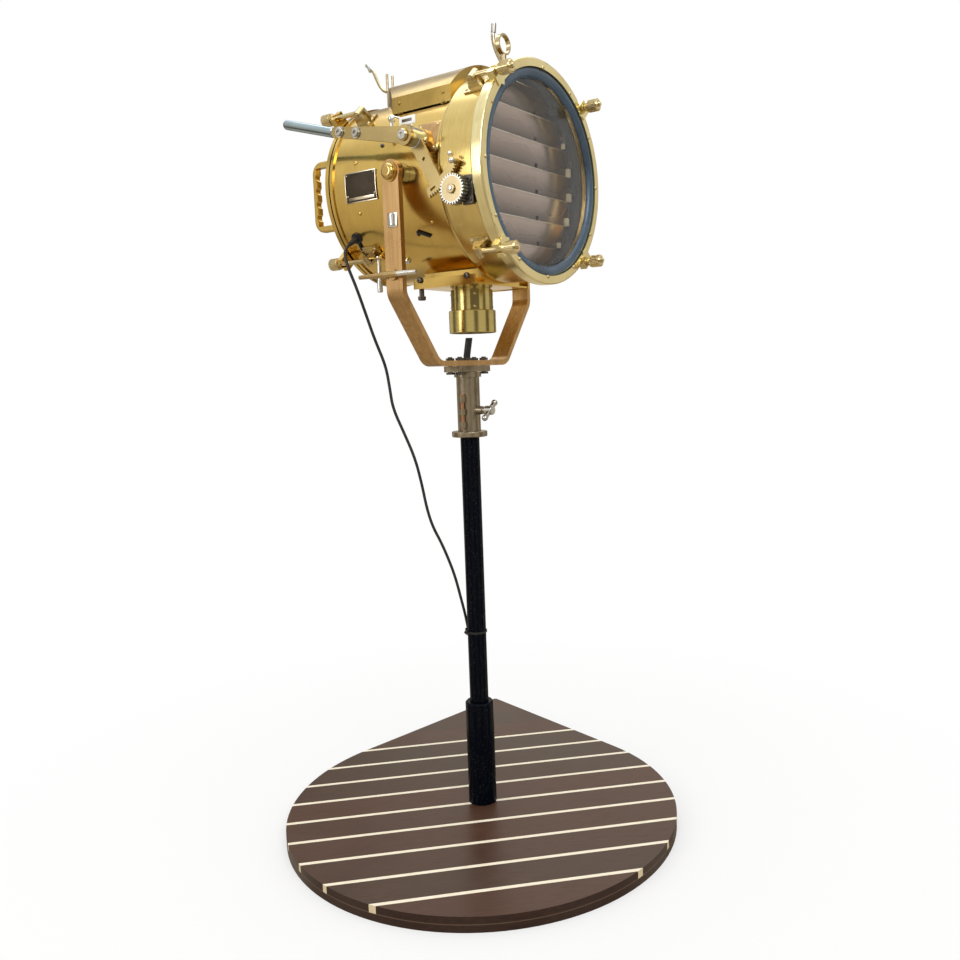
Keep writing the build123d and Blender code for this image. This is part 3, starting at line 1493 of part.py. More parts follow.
# Rear handles: two upright loops with a finger grip inside
grip_face = rear_door_back - seat_gap - handle_depth + handle_section
with BuildPart() as rear_handles:
    for side in (-1, 1):
        with BuildSketch(side_plane(side * handle_offset - handle_thickness / 2)):
            with Locations((rear_door_back - seat_gap, handle_centre)):
                Rectangle(handle_depth, handle_height, align=(Align.MAX, Align.CENTER))
            with Locations((rear_door_back - seat_gap, handle_centre)):
                Rectangle(
                    handle_depth - handle_section,
                    handle_height - 2 * handle_section,
                    align=(Align.MAX, Align.CENTER),
                    mode=Mode.SUBTRACT,
                )
            with Locations((grip_face + finger_radius - finger_bite, handle_centre)):
                with GridLocations(0, finger_pitch, 1, finger_count):
                    Circle(finger_radius, mode=Mode.SUBTRACT)
        extrude(amount=handle_thickness)
    fillet(rear_handles.edges().filter_by(Axis.X).group_by(Axis.Y)[-1], handle_corner)
    fillet(rear_handles.faces().filter_by(Axis.Y).group_by(Axis.Y)[-1].edges().filter_by(Axis.Z), 3.0)
keep(rear_handles, "rear_handles")

# Mains lead: its points run from the gland, past the socket, round behind the pole and out along the deck
gland_turn = math.radians(gland_angle)
gland_way = (math.cos(gland_turn), 0, math.sin(gland_turn))
lead_exit = (gland_tip * gland_way[0], -gland_forward, trunnion_height + gland_tip * gland_way[2])
hank_turn = math.radians(hank_heading)
hank_way = (math.cos(hank_turn), math.sin(hank_turn))
hank_middle = deck_top + seat_gap + hank_height / 2


def along_deck(reach):
    """The point of the lead on the deck at this distance from the pole's axis."""
    return (reach * hank_way[0], reach * hank_way[1], hank_middle)


lead_points = [
    lead_exit,
    (lead_exit[0] + 16 * gland_way[0], lead_exit[1], lead_exit[2] + 16 * gland_way[2]),
    (-161, 119, 991),
    (-150, 110, 953),
    (-138, 104, 912),
    (-125, 97, 865),
    (-111, 88, 822),
    (-107, 85, 784),
    (-104, 83, 750),
    (-89, 74, 708),
    (-74, 64, 662),
    (-65, 59, 616),
    (-59, 55, 572),
    (-51, 50, 539),
    (-39, 43, 511),
    (-29, 36, 480),
    (-19, 30, 446),
    (-11, 25, 405),
    (-3, 20, 363),
    (4, 19.5, 320),
    (12, 18.5, 270),
    (22, 20.5, 225),
    (26.5, 20.5, 172),
    (26, 22, 118),
    (27.5, 21.5, 72),
    (34, 26.5, 44),
    along_deck(58),
    along_deck(hank_near),
]
lead_joint = 4
joint_point = tuple(
    (a + b) / 2 for a, b in zip(lead_points[lead_joint - 1], lead_points[lead_joint])
)
lead_runs = [Vector(*b) - Vector(*a) for a, b in zip(lead_points, lead_points[1:])]
lead_radii = [
    0.45 * min(before.length, after.length) / math.tan(math.radians(before.get_angle(after)) / 2)
    for before, after in zip(lead_runs, lead_runs[1:])
]
print("runs", [round(run.length, 1) for run in lead_runs])
print("radii", [round(radius, 1) for radius in lead_radii])

with BuildPart() as lead_tail:
    with BuildLine() as tail_line:
        FilletPolyline(*lead_points[:lead_joint], joint_point, radius=lead_radii[: lead_joint - 1])
    with BuildSketch(Plane(origin=tail_line.line @ 0, z_dir=tail_line.line % 0)):
        Circle(lead_radius)
    sweep()
keep(lead_tail, "lead_tail")

with BuildPart() as lead:
    with BuildLine() as lead_line:
        FilletPolyline(joint_point, *lead_points[lead_joint:], radius=lead_radii[lead_joint - 1 :])
    with BuildSketch(Plane(origin=lead_line.line @ 0, z_dir=lead_line.line % 0)):
        Circle(lead_radius)
    sweep()
keep(lead, "lead")

for piece, line in ((lead_tail, tail_line), (lead, lead_line)):
    run = line.wires()[0].length
    print("lead", round(run, 1), "volume ratio", round(piece.part.volume / (math.pi * lead_radius**2 * run), 4))

hank_plane = Plane(origin=along_deck(hank_near), x_dir=(-hank_way[1], hank_way[0], 0), z_dir=(*hank_way, 0))
with BuildPart() as lead_hank:
    with BuildSketch(hank_plane):
        RectangleRounded(hank_width, hank_height, hank_height / 2 - 1)
    extrude(amount=hank_length)
keep(lead_hank, "lead_hank")

# Plug at the hank's far end
with BuildPart() as lead_plug:
    with BuildSketch(hank_plane.offset(hank_length)):
        with Locations((0, (plug_height - hank_height) / 2)):
            RectangleRounded(0.6 * plug_width, 0.8 * plug_height, 3)
    with BuildSketch(hank_plane.offset(hank_length + plug_length / 2)):
        with Locations((0, (plug_height - hank_height) / 2)):
            RectangleRounded(plug_width, plug_height, 5)
    loft()
    with BuildSketch(hank_plane.offset(hank_length + plug_length / 2)):
        with Locations((0, (plug_height - hank_height) / 2)):
            RectangleRounded(plug_width, plug_height, 5)
    extrude(amount=plug_length / 2)
    with BuildSketch(hank_plane.offset(hank_length + plug_length)):
        with Locations((0, (plug_height - hank_height) / 2)):
            with GridLocations(plug_pin_spread, 0, 2, 1):
                Circle(plug_pin_radius)
    extrude(amount=plug_pin_length)
keep(lead_plug, "lead_plug")
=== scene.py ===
import math

import bmesh
import bpy
from mathutils import Matrix, Vector
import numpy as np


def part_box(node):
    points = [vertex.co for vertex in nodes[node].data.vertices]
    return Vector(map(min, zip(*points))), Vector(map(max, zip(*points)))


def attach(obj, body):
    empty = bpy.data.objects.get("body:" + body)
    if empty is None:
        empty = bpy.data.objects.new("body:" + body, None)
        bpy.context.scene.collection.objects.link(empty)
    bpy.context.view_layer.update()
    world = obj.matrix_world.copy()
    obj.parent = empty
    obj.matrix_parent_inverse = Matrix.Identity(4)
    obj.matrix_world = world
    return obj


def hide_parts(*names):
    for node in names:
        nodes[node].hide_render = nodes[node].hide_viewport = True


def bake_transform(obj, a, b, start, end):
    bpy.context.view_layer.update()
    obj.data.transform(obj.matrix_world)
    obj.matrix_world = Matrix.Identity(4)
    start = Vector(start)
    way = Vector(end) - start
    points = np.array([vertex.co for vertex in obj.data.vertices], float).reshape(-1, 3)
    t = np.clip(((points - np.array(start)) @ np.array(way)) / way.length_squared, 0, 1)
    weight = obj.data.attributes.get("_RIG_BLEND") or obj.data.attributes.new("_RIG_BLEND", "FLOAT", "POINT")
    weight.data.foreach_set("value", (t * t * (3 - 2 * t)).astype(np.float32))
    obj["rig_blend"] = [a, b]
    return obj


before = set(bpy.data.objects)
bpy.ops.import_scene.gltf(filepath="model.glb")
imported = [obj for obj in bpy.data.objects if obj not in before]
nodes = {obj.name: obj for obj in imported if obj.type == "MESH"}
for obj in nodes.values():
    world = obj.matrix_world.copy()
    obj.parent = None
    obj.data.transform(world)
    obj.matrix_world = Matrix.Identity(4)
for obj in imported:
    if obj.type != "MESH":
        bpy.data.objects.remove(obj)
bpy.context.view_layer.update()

# Camera: the photograph's place and lens, from a fit of the lamp's circles, the pole and the base.
# It stands to the front left of the lamp, above the deck and below the head, and looks slightly down.
camera_place = Vector((-1.2551, -0.9628, 0.8110))
camera_forward = Vector((0.81489, 0.56652, -0.12252)).normalized()
camera_roll = math.radians(-1.748)
level_right = camera_forward.cross(Vector((0, 0, 1))).normalized()
level_up = level_right.cross(camera_forward)
camera_right = math.cos(camera_roll) * level_right + math.sin(camera_roll) * level_up
camera_up = math.cos(camera_roll) * level_up - math.sin(camera_roll) * level_right
photo_camera = bpy.data.cameras.new("photo_camera")
photo_camera.lens = 33.89
photo_camera.sensor_width = 36
photo_camera.shift_x = -0.0349
photo_camera.clip_end = 50
camera_object = bpy.data.objects.new("photo_camera", photo_camera)
camera_turn = Matrix((camera_right, camera_up, -camera_forward)).transposed()
camera_object.matrix_world = Matrix.Translation(camera_place) @ camera_turn.to_4x4()
bpy.context.scene.collection.objects.link(camera_object)
bpy.context.scene.camera = camera_object
bpy.context.scene.view_settings.view_transform = "Standard"


class Socket:
    """A socket in a node tree. Arithmetic on it adds the Math nodes, so shader maths reads as Python."""

    def __init__(self, wiring, socket):
        self.wiring = wiring
        self.socket = socket

    def math(self, operation, *others):
        """Any operation of the Math node on this socket."""
        return self.wiring.node("ShaderNodeMath", {"operation": operation}, self, *others)

    def __add__(self, other):
        return self.math("ADD", other)

    def __mul__(self, other):
        return self.math("MULTIPLY", other)

    def __sub__(self, other):
        return self.math("SUBTRACT", other)

    def __truediv__(self, other):
        return self.math("DIVIDE", other)

    def __pow__(self, other):
        return self.math("POWER", other)


class Wiring:
    """A node tree in the making: node() adds a node of one type, with its settings and then its inputs."""

    def __init__(self, tree):
        self.tree = tree

    def feed(self, target, value):
        """Link a socket to an input, or set the input to a plain value."""
        if isinstance(value, Socket):
            self.tree.links.new(value.socket, target)
        else:
            target.default_value = value

    def node(self, kind, settings, *values, output=0, **named):
        """Add a node of this type. Its settings come first, then its inputs in order or by name."""
        node = self.tree.nodes.new(kind)
        for setting, value in settings.items():
            if setting == "stops":
                while len(node.color_ramp.elements) < len(value):
                    node.color_ramp.elements.new(0.5)
                for element, (place, colour) in zip(node.color_ramp.elements, value):
                    element.position = place
                    element.color = (*colour, 1)
            else:
                setattr(node, setting, value)
        inputs = [socket for socket in node.inputs if socket.enabled]
        for target, value in zip(inputs, values):
            self.feed(target, value)
        for target, value in named.items():
            self.feed(node.inputs[target.replace("_", " ").title()], value)
        if isinstance(output, str):
            return Socket(self, node.outputs[output])
        outputs = [socket for socket in node.outputs if socket.enabled]
        return Socket(self, outputs[output]) if outputs else None


class Finish(Wiring):
    """A material in the making. The same value all over is set at the start, and patterns are fed in."""

    def __init__(self, name, **constants):
        self.material = bpy.data.materials.new(name)
        self.material.use_nodes = True
        super().__init__(self.material.node_tree)
        self.shader = self.tree.nodes["Principled BSDF"]
        for socket, value in constants.items():
            self.shader.inputs[socket.replace("_", " ")].default_value = value

    def places(self, scale=(1, 1, 1), turn=(0, 0, 0), middle=(0, 0, 0)):
        """Object coordinates, moved to a middle, turned, and stretched by these numbers."""
        coordinates = self.node("ShaderNodeTexCoord", {}, output="Object")
        stretch = [1 / value for value in scale]
        return self.node("ShaderNodeMapping", {"vector_type": "TEXTURE"}, coordinates, middle, turn, stretch)

    def along(self, axis, **layout):
        """One of the object coordinates, 0 for x, 1 for y and 2 for z, in metres."""
        return self.node("ShaderNodeSeparateXYZ", {}, self.places(**layout), output=axis)

    def noise(self, fineness, detail=3.0, roughness=0.5, **layout):
        """A noise pattern over the piece, from 0 to 1."""
        return self.node(
            "ShaderNodeTexNoise", {}, Vector=self.places(**layout), Scale=fineness, Detail=detail, Roughness=roughness
        )

    def band(self, value, low, high, start=0.0, end=1.0):
        """A value stretched from one range to another and held at its ends."""
        return self.node("ShaderNodeMapRange", {}, value, low, high, start, end)

    def uneven(self, fineness, low, high, **pattern):
        """A value that drifts between two limits over the piece, as the shine of a real surface does."""
        return self.band(self.noise(fineness, **pattern), 0.3, 0.7, low, high)

    def sides(self):
        """A mask for painted shade: 1 on upright faces, 0 on level ones."""
        normal = self.node("ShaderNodeNewGeometry", {}, output="Normal")
        level = self.node("ShaderNodeSeparateXYZ", {}, normal, output=2)
        return self.band(level.math("ABSOLUTE"), 0.35, 0.8, 1.0, 0.0)

    def blend(self, factor, first, second):
        """A mix of two colours."""
        colours = [value if isinstance(value, Socket) else (*value, 1) for value in (first, second)]
        return self.node("ShaderNodeMix", {"data_type": "RGBA"}, factor, *colours)

    def bump(self, height, strength, distance):
        """A bump of this height, fed to the shader's normal."""
        normal = self.node("ShaderNodeBump", {}, Height=height, Strength=strength, Distance=distance)
        self.feed(self.shader.inputs["Normal"], normal)

    def done(self, **links):
        """Link what varies over the surface to the shader, and return the material."""
        for socket, value in links.items():
            self.feed(self.shader.inputs[socket.replace("_", " ")], value)
        return self.material


# Studio: a plain pale floor under soft lamps. The floor fades to white away from the lamp and keeps its shadow, and
# the metal mirrors a pale room over a warm brown floor, with dark openings between the walls.
room = bpy.data.worlds.new("room")
bpy.context.scene.world = room
room.use_nodes = True
air = Wiring(room.node_tree)
camera_ray, glossy_ray, transmission_ray = (
    air.node("ShaderNodeLightPath", {}, output=name)
    for name in ("Is Camera Ray", "Is Glossy Ray", "Is Transmission Ray"))
sky_way = air.node("ShaderNodeTexCoord", {}, output="Generated")
east, north, level = (air.node("ShaderNodeSeparateXYZ", {}, sky_way, output=k) for k in range(3))
mirrored = air.node("ShaderNodeValToRGB", {"stops": (
    (0.00, (0.36, 0.29, 0.20)), (0.16, (0.56, 0.48, 0.36)), (0.36, (0.62, 0.54, 0.42)), (0.50, (0.66, 0.59, 0.48)),
    (0.60, (0.68, 0.62, 0.52)), (0.70, (0.84, 0.80, 0.71)), (0.84, (1.0, 0.98, 0.92)), (1.00, (1.0, 1.0, 1.0)),
)}, level * 0.5 + 0.5)
opening_count, plain_level = 6, 0.72
walls = (north.math("ARCTAN2", east) - math.radians(145)) * opening_count
walls = air.node("ShaderNodeMapRange", {}, walls.math("COSINE"), -0.72, -0.25, 0.85, 0.0)
near_level = air.node("ShaderNodeMapRange", {}, level.math("ABSOLUTE"), 0.45, 0.75, 1.0, 0.0)
mirrored = air.node("ShaderNodeMix", {"data_type": "RGBA"}, walls * near_level, mirrored, (0.07, 0.052, 0.038, 1))
plain = air.node("ShaderNodeBackground", {}, (1.0, 0.99, 0.97, 1), plain_level)
pale = air.node("ShaderNodeBackground", {}, (1, 1, 1, 1), 1.0)
glossy = air.node("ShaderNodeBackground", {}, mirrored, 1.0)
seen = air.node("ShaderNodeMixShader", {}, glossy_ray, plain, glossy)
looked_through = camera_ray.math("MAXIMUM", transmission_ray)
seen = air.node("ShaderNodeMixShader", {}, looked_through, seen, pale)
air.feed(room.node_tree.nodes["World Output"].inputs["Surface"], seen)

for name, place, size, power in (
    ("window_light", (-1.6, -2.4, 2.6), 1.6, 34),
    ("side_light", (-2.6, 0.9, 1.6), 1.2, 16),
    ("top_light", (0.3, 0.2, 3.2), 2.2, 26),
):
    lamp = bpy.data.lights.new(name, "AREA")
    lamp.size = size
    lamp.energy = power
    lamp_object = bpy.data.objects.new(name, lamp)
    lamp_object.location = place
    lamp_object.rotation_euler = (Vector((0, 0, 0.9)) - Vector(place)).to_track_quat("-Z", "Y").to_euler()
    bpy.context.scene.collection.objects.link(lamp_object)

floor_half = 20
floor_corners = [(x * floor_half, y * floor_half, 0) for x, y in ((-1, -1), (1, -1), (1, 1), (-1, 1))]
floor_mesh = bpy.data.meshes.new("studio_floor")
floor_mesh.from_pydata(floor_corners, [], [(0, 1, 2, 3)])
studio_floor = bpy.data.objects.new("studio_floor", floor_mesh)
bpy.context.scene.collection.objects.link(studio_floor)
pale_floor = Finish("pale_floor", Roughness=0.9, Base_Color=(0.86, 0.86, 0.86, 1))
from_pole = pale_floor.node("ShaderNodeVectorMath", {"operation": "LENGTH"}, pale_floor.places(), output="Value")
white = pale_floor.node("ShaderNodeEmission", {}, (1, 1, 1, 1), 1.0)
looked_at = pale_floor.node("ShaderNodeLightPath", {}, output="Is Camera Ray").math(
    "MAXIMUM", pale_floor.node("ShaderNodeLightPath", {}, output="Is Transmission Ray"))
fade = pale_floor.band(from_pole, 0.35, 1.1, 0.55, 1.0) * looked_at
lit = Socket(pale_floor, pale_floor.shader.outputs[0])
floor_mix = pale_floor.node("ShaderNodeMixShader", {}, fade, lit, white)
pale_floor.feed(pale_floor.tree.nodes["Material Output"].inputs["Surface"], floor_mix)
floor_mesh.materials.append(pale_floor.material)
studio_floor.visible_glossy = False

# Mains lead: a thin limp rubber lead, 5 mm thick and 2 m long. It leaves the drum's gland, hangs down past the
# socket, runs behind the pole to the deck, and its spare length lies there as a tied hank behind the sleeve.
lead_diameter = 0.005
trunnion_height = 1.116
deck_top = 0.0254


def outward(turned):
    """The level way out from the pole at an angle in degrees."""
    return Vector((math.cos(math.radians(turned)), math.sin(math.radians(turned)), 0))


def on_head(aside, back, rise):
    """A place on the lamp head, measured from the middle of the trunnions."""
    return Vector((aside, back, trunnion_height + rise))


def round_beam(turned, radius, back):
    """A place at an angle and a radius from the beam axis, with the way it faces."""
    out = Vector((math.cos(math.radians(turned)), 0, math.sin(math.radians(turned))))
    return out * radius + on_head(0, back, 0), out


lead_exit, gland_way = round_beam(212.9, 0.171, 0.125)
hank_way = outward(37.5)
hank_side = Vector((-hank_way.y, hank_way.x, 0))
low_fold, high_fold = 0.0032, 0.0086


def on_deck(reach, aside, rise):
    """A point of the lead on the deck: its distance out from the pole, to the side, and above the deck."""
    return hank_way * reach + hank_side * aside + Vector((0, 0, deck_top + rise))


lead_route = [
    lead_exit, lead_exit + 0.016 * gland_way,
    (-0.161, 0.119, 0.991), (-0.150, 0.110, 0.953), (-0.138, 0.104, 0.912), (-0.125, 0.097, 0.865),
    (-0.111, 0.088, 0.822), (-0.107, 0.085, 0.784), (-0.104, 0.083, 0.750), (-0.089, 0.074, 0.708),
    (-0.074, 0.064, 0.662), (-0.065, 0.059, 0.616), (-0.059, 0.055, 0.572), (-0.051, 0.050, 0.539),
    (-0.039, 0.043, 0.511), (-0.029, 0.036, 0.480), (-0.019, 0.030, 0.446), (-0.011, 0.025, 0.405),
    (-0.003, 0.020, 0.363), (0.004, 0.0195, 0.320), (0.012, 0.0185, 0.270), (0.022, 0.0205, 0.225),
    (0.0265, 0.0205, 0.172), (0.026, 0.022, 0.118), (0.0275, 0.0215, 0.072), (0.034, 0.0265, 0.044),
    on_deck(0.058, 0, 0.0068), on_deck(0.076, 0, 0.0068), on_deck(0.090, -0.006, low_fold),
]
fold_points = 6
for half, rise in ((0.0155, low_fold), (0.0103, low_fold), (0.0103, high_fold), (0.0155, high_fold)):
    for middle, first in ((0.1765, -90), (0.1145, 90)):
        for k in range(fold_points + 1):
            turned = math.radians(first + 180 * k / fold_points)
            lead_route.append(on_deck(middle + half * math.cos(turned), half * math.sin(turned), rise))
lead_route += [
    on_deck(0.150, -0.0155, high_fold), on_deck(0.176, -0.0150, 0.0088), on_deck(0.192, -0.0070, 0.0088),
    on_deck(0.206, 0, 0.0088),
]


def lead_curve(name, bevel):
    """The lead's NURBS line through the route, round with the lead's radius where bevel is set."""
    curve = bpy.data.curves.new(name, "CURVE")
    curve.dimensions = "3D"
    curve.resolution_u = 6
    line = curve.splines.new("NURBS")
    line.points.add(len(lead_route) - 1)
    for point, place in zip(line.points, lead_route):
        point.co = (*place, 1)
    line.order_u = 3
    line.use_endpoint_u = True
    if bevel:
        curve.bevel_depth = lead_diameter / 2
        curve.bevel_resolution = 3
        curve.use_fill_caps = True
    carrier = bpy.data.objects.new(name, curve)
    bpy.context.scene.collection.objects.link(carrier)
    mesh = bpy.data.meshes.new_from_object(carrier.evaluated_get(bpy.context.evaluated_depsgraph_get()))
    bpy.data.objects.remove(carrier)
    return mesh


def mount(mesh, name, body, finish):
    """Put a finished mesh on its body, with its material and its smooth shading."""
    mesh.shade_smooth()
    mesh.set_sharp_from_angle(angle=math.radians(32))
    mesh.materials.clear()
    mesh.materials.append(finish)
    made = bpy.data.objects.new(name, mesh)
    bpy.context.scene.collection.objects.link(made)
    if body:
        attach(made, body)
    return made


def finish_nodes(finish, *names):
    """Give CAD nodes a material."""
    for name in names:
        nodes[name].data.materials.clear()
        nodes[name].data.materials.append(finish)


sheath = Finish("lead_sheath")
sheath.bump(sheath.noise(900), 0.15, 0.0002)
sheath_finish = sheath.done(
    Base_Color=sheath.blend(sheath.band(sheath.noise(40), 0.4, 0.7), (0.010, 0.010, 0.011), (0.022, 0.021, 0.021)),
    Roughness=sheath.uneven(60, 0.36, 0.55),
)
lead_line = [vertex.co.copy() for vertex in lead_curve("lead_line", False).vertices]
mains_lead = mount(lead_curve("mains_lead", True), "mains_lead", None, sheath_finish)
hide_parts("lead", "lead_tail", "lead_hank")
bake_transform(mains_lead, "lamp_head", "yoke", start=lead_exit, end=(-0.111, 0.088, 0.80))
finish_nodes(sheath_finish, "lead_gland", "lead_plug", "base_cable", "rear_gasket")

# Deck base: two layers of ply cut to a drop shape. The upper one is laid like a ship's deck, brown planks with cream
# strips between them, under a thin satin varnish. Its edge is painted darker than the top, as shade on the upright
# faces, with a paler line where the layers meet. The strips' sides are painted darker as shade too.
deck_middle = (-0.0077, -0.005, 0)
plank_pitch = 0.0703
layer_height = 0.0127
deck = Finish("dark_wood", Specular_IOR_Level=0.4)
lay = {"turn": (0, 0, math.radians(-45)), "middle": deck_middle}
plank = (deck.along(1, **lay) * (1 / plank_pitch)).math("FLOOR")
plank_tone = deck.node("ShaderNodeTexWhiteNoise", {"noise_dimensions": "1D"}, W=plank * 1.37 + 0.21, output="Value")
grain = deck.noise(26, detail=8, roughness=0.62, scale=(1, 15, 15), **lay)
pores = deck.noise(150, detail=3, roughness=0.7, scale=(1, 16, 16), **lay)
clouds = deck.noise(7, detail=3, **lay)
board = deck.blend(plank_tone, (0.086, 0.033, 0.018), (0.056, 0.033, 0.020))
board = deck.blend(deck.band(clouds, 0.35, 0.7) * 0.35, board, (0.112, 0.062, 0.040))
board = deck.blend(deck.band(grain, 0.42, 0.66) * 0.5, board, (0.036, 0.016, 0.009))
board = deck.blend(deck.band(pores, 0.60, 0.78) * 0.4, board, (0.030, 0.014, 0.009))
glue_line = deck.band((deck.along(2) - layer_height).math("ABSOLUTE"), 0.0004, 0.0011, 1.0, 0.0)
# The edge is painted darker than the top, as shade on the upright faces; its grain and the paler glue line are the
# board's own.
edge = deck.blend(deck.band(grain, 0.3, 0.7), (0.016, 0.006, 0.0035), (0.038, 0.014, 0.007))
edge = deck.blend(glue_line * 0.55, edge, (0.16, 0.095, 0.06))
deck.bump(grain + pores, 0.12, 0.0004)
deck_finish = deck.done(
    Base_Color=deck.blend(deck.sides(), board, edge),
    Roughness=deck.band(clouds, 0.3, 0.7, 0.30, 0.44) + deck.band(pores, 0.6, 0.8, 0.0, 0.12),
)
finish_nodes(deck_finish, "base_board", "deck_planks")
strip = Finish("pale_wood")
strip_grain = strip.noise(60, detail=5, scale=(1, 12, 12), **lay)
strip_colour = strip.blend(strip.band(strip_grain, 0.35, 0.7), (0.97, 0.90, 0.74), (0.84, 0.73, 0.53))
strip.bump(strip_grain, 0.1, 0.0003)
# The strips' upright sides are painted darker than their tops, as shade.
finish_nodes(strip.done(
    Base_Color=strip.blend(strip.sides(), strip_colour, (0.62, 0.50, 0.30)),
    Roughness=strip.uneven(90, 0.34, 0.5),
), "deck_strips")

# Pole and sleeve: steel tube under blue-black stove enamel with fine pale dust in it. A set screw holds the sleeve
# to the pole, and a nylon tie holds the lead against the pole.
enamel = Finish("black_enamel", Coat_Roughness=0.05, Specular_IOR_Level=0.05)
specks = enamel.band(enamel.noise(700, detail=1), 0.70, 0.76)
runs = enamel.noise(18, detail=3)
enamel.bump(enamel.noise(160, detail=2), 0.05, 0.0003)
black_enamel = enamel.done(
    Base_Color=enamel.blend(specks * 0.5, (0.0010, 0.0020, 0.0046), (0.20, 0.21, 0.22)),
    Roughness=enamel.band(runs, 0.3, 0.7, 0.12, 0.26),
    Coat_Weight=enamel.band(runs, 0.3, 0.7, 0.05, 0.03),
)
finish_nodes(black_enamel, "pole", "pole_sleeve")


def lathe(shape, outline, place, way, steps=28):
    """Spin an outline of (height, radius) pairs about an axis. It closes where the radius is 0."""
    way = Vector(way).normalized()
    side = way.orthogonal().normalized()
    other = way.cross(side)
    hoops = []
    for height, radius in outline:
        middle = Vector(place) + way * height
        turns = [2 * math.pi * k / steps for k in range(steps)] if radius else [0]
        hoops.append([shape.verts.new(middle + radius * (side * math.cos(t) + other * math.sin(t))) for t in turns])
    for below, above in zip(hoops, hoops[1:]):
        for k in range(steps):
            corners = [below[k % len(below)], below[(k + 1) % len(below)]]
            corners += [above[(k + 1) % len(above)], above[k % len(above)]]
            shape.faces.new(list(dict.fromkeys(corners)))


def slab(shape, size, place, way=(0, 0, 1), turn=0.0, edge=0.0008):
    """A block with rounded edges. Its z side points along the way, and it is turned about it."""
    seat = Vector(way).to_track_quat("Z", "Y").to_matrix().to_4x4() @ Matrix.Rotation(turn, 4, "Z")
    matrix = Matrix.Translation(place) @ seat @ Matrix.Diagonal((*size, 1))
    made = bmesh.ops.create_cube(shape, size=1, matrix=matrix)
    edges = list(dict.fromkeys(line for vertex in made["verts"] for line in vertex.link_edges))
    bmesh.ops.bevel(shape, geom=edges, offset=edge, segments=3, profile=0.5, affect="EDGES")


def bent_plate(shape, frame_of, inner, outer, near, far, low, high, steps=12, edge=0.0007):
    """A plate bent round an axis: between two radii, from near to far along it, and between two angles."""
    origin, axis, zero, quarter = (Vector(value) for value in frame_of)
    rows = []
    for k in range(steps + 1):
        turned = math.radians(low + (high - low) * k / steps)
        out = zero * math.cos(turned) + quarter * math.sin(turned)
        rows.append([
            shape.verts.new(origin + axis * reach + out * radius)
            for reach, radius in ((near, inner), (far, inner), (far, outer), (near, outer))
        ])
    faces = [shape.faces.new(rows[0][::-1]), shape.faces.new(rows[-1])]
    for first, second in zip(rows, rows[1:]):
        for k in range(4):
            faces.append(shape.faces.new((first[k], first[(k + 1) % 4], second[(k + 1) % 4], second[k])))
    bmesh.ops.recalc_face_normals(shape, faces=faces)
    folded = (line for face in faces for line in face.edges if line.calc_face_angle(0) > 1.0)
    bmesh.ops.bevel(
        shape, geom=list(dict.fromkeys(folded)), offset=edge, segments=2, profile=0.5, affect="EDGES")


def tube(shape, line, radius, steps=10):
    """A round bar along a line of points, with closed ends."""
    line = [Vector(point) for point in line]
    hoops = []
    side = (line[1] - line[0]).orthogonal().normalized()
    for k, point in enumerate(line):
        way = (line[min(k + 1, len(line) - 1)] - line[max(k - 1, 0)]).normalized()
        side = (side - way * side.dot(way)).normalized()
        other = way.cross(side)
        turns = [2 * math.pi * n / steps for n in range(steps)]
        hoops.append([shape.verts.new(point + radius * (side * math.cos(t) + other * math.sin(t))) for t in turns])
    for below, above in zip(hoops, hoops[1:]):
        for k in range(steps):
            shape.faces.new((below[k], below[(k + 1) % steps], above[(k + 1) % steps], above[k]))
    shape.faces.new(hoops[0][::-1])
    shape.faces.new(hoops[-1])


def piece(shape, name, body, finish):
    """Turn a bmesh into a finished piece that rides on a body."""
    bmesh.ops.remove_doubles(shape, verts=shape.verts, dist=1e-6)
    bmesh.ops.recalc_face_normals(shape, faces=shape.faces)
    mesh = bpy.data.meshes.new(name)
    shape.to_mesh(mesh)
    shape.free()
    return mount(mesh, name, body, finish)


socket_head = (
    (-0.001, 0), (-0.001, 0.0042), (0.0018, 0.0042), (0.0022, 0.0038), (0.0022, 0.0022), (0.0006, 0.002), (0.0006, 0))
sleeve_side, set_height = 0.0252, 0.171
set_way = outward(222)
set_screw = bmesh.new()
lathe(set_screw, socket_head, set_way * sleeve_side + Vector((0, 0, set_height)), set_way)
piece(set_screw, "sleeve_set_screw", "stand", black_enamel)

nylon = Finish("nylon_tie", Base_Color=(0.012, 0.012, 0.013, 1))
nylon.bump(nylon.noise(60, scale=(1, 1, 40)), 0.3, 0.0003)
nylon_finish = nylon.done(Roughness=nylon.uneven(50, 0.35, 0.5))
tie_height, tie_steps = 0.345, 48
pole_reach, lead_bulge, lead_turn, bulge_spread = 0.0178, 0.0068, 92, 19
tie = bmesh.new()
tie_hoops = []
for k in range(tie_steps):
    turned = 360 * k / tie_steps
    reach = pole_reach + lead_bulge * math.exp(-(((turned - lead_turn) / bulge_spread) ** 2))
    tie_hoops.append([
        tie.verts.new(outward(turned) * (reach + thick) + Vector((0, 0, tie_height + rise)))
        for thick, rise in ((-0.0006, -0.0018), (0.0006, -0.0018), (0.0006, 0.0018), (-0.0006, 0.0018))
    ])
for first, second in zip(tie_hoops, tie_hoops[1:] + tie_hoops[:1]):
    for k in range(4):
        tie.faces.new((first[k], first[(k + 1) % 4], second[(k + 1) % 4], second[k]))
slab(tie, (0.006, 0.0045, 0.005), (-0.0172, 0.0105, tie_height), turn=math.radians(60))
tail_line = [(-0.0175, 0.0115, 0.3458), (-0.0205, 0.0125, 0.3462), (-0.0225, 0.009, 0.3445), (-0.0225, 0.004, 0.3425)]
tube(tie, tail_line, 0.0009)
piece(tie, "lead_tie", "yoke", nylon_finish)


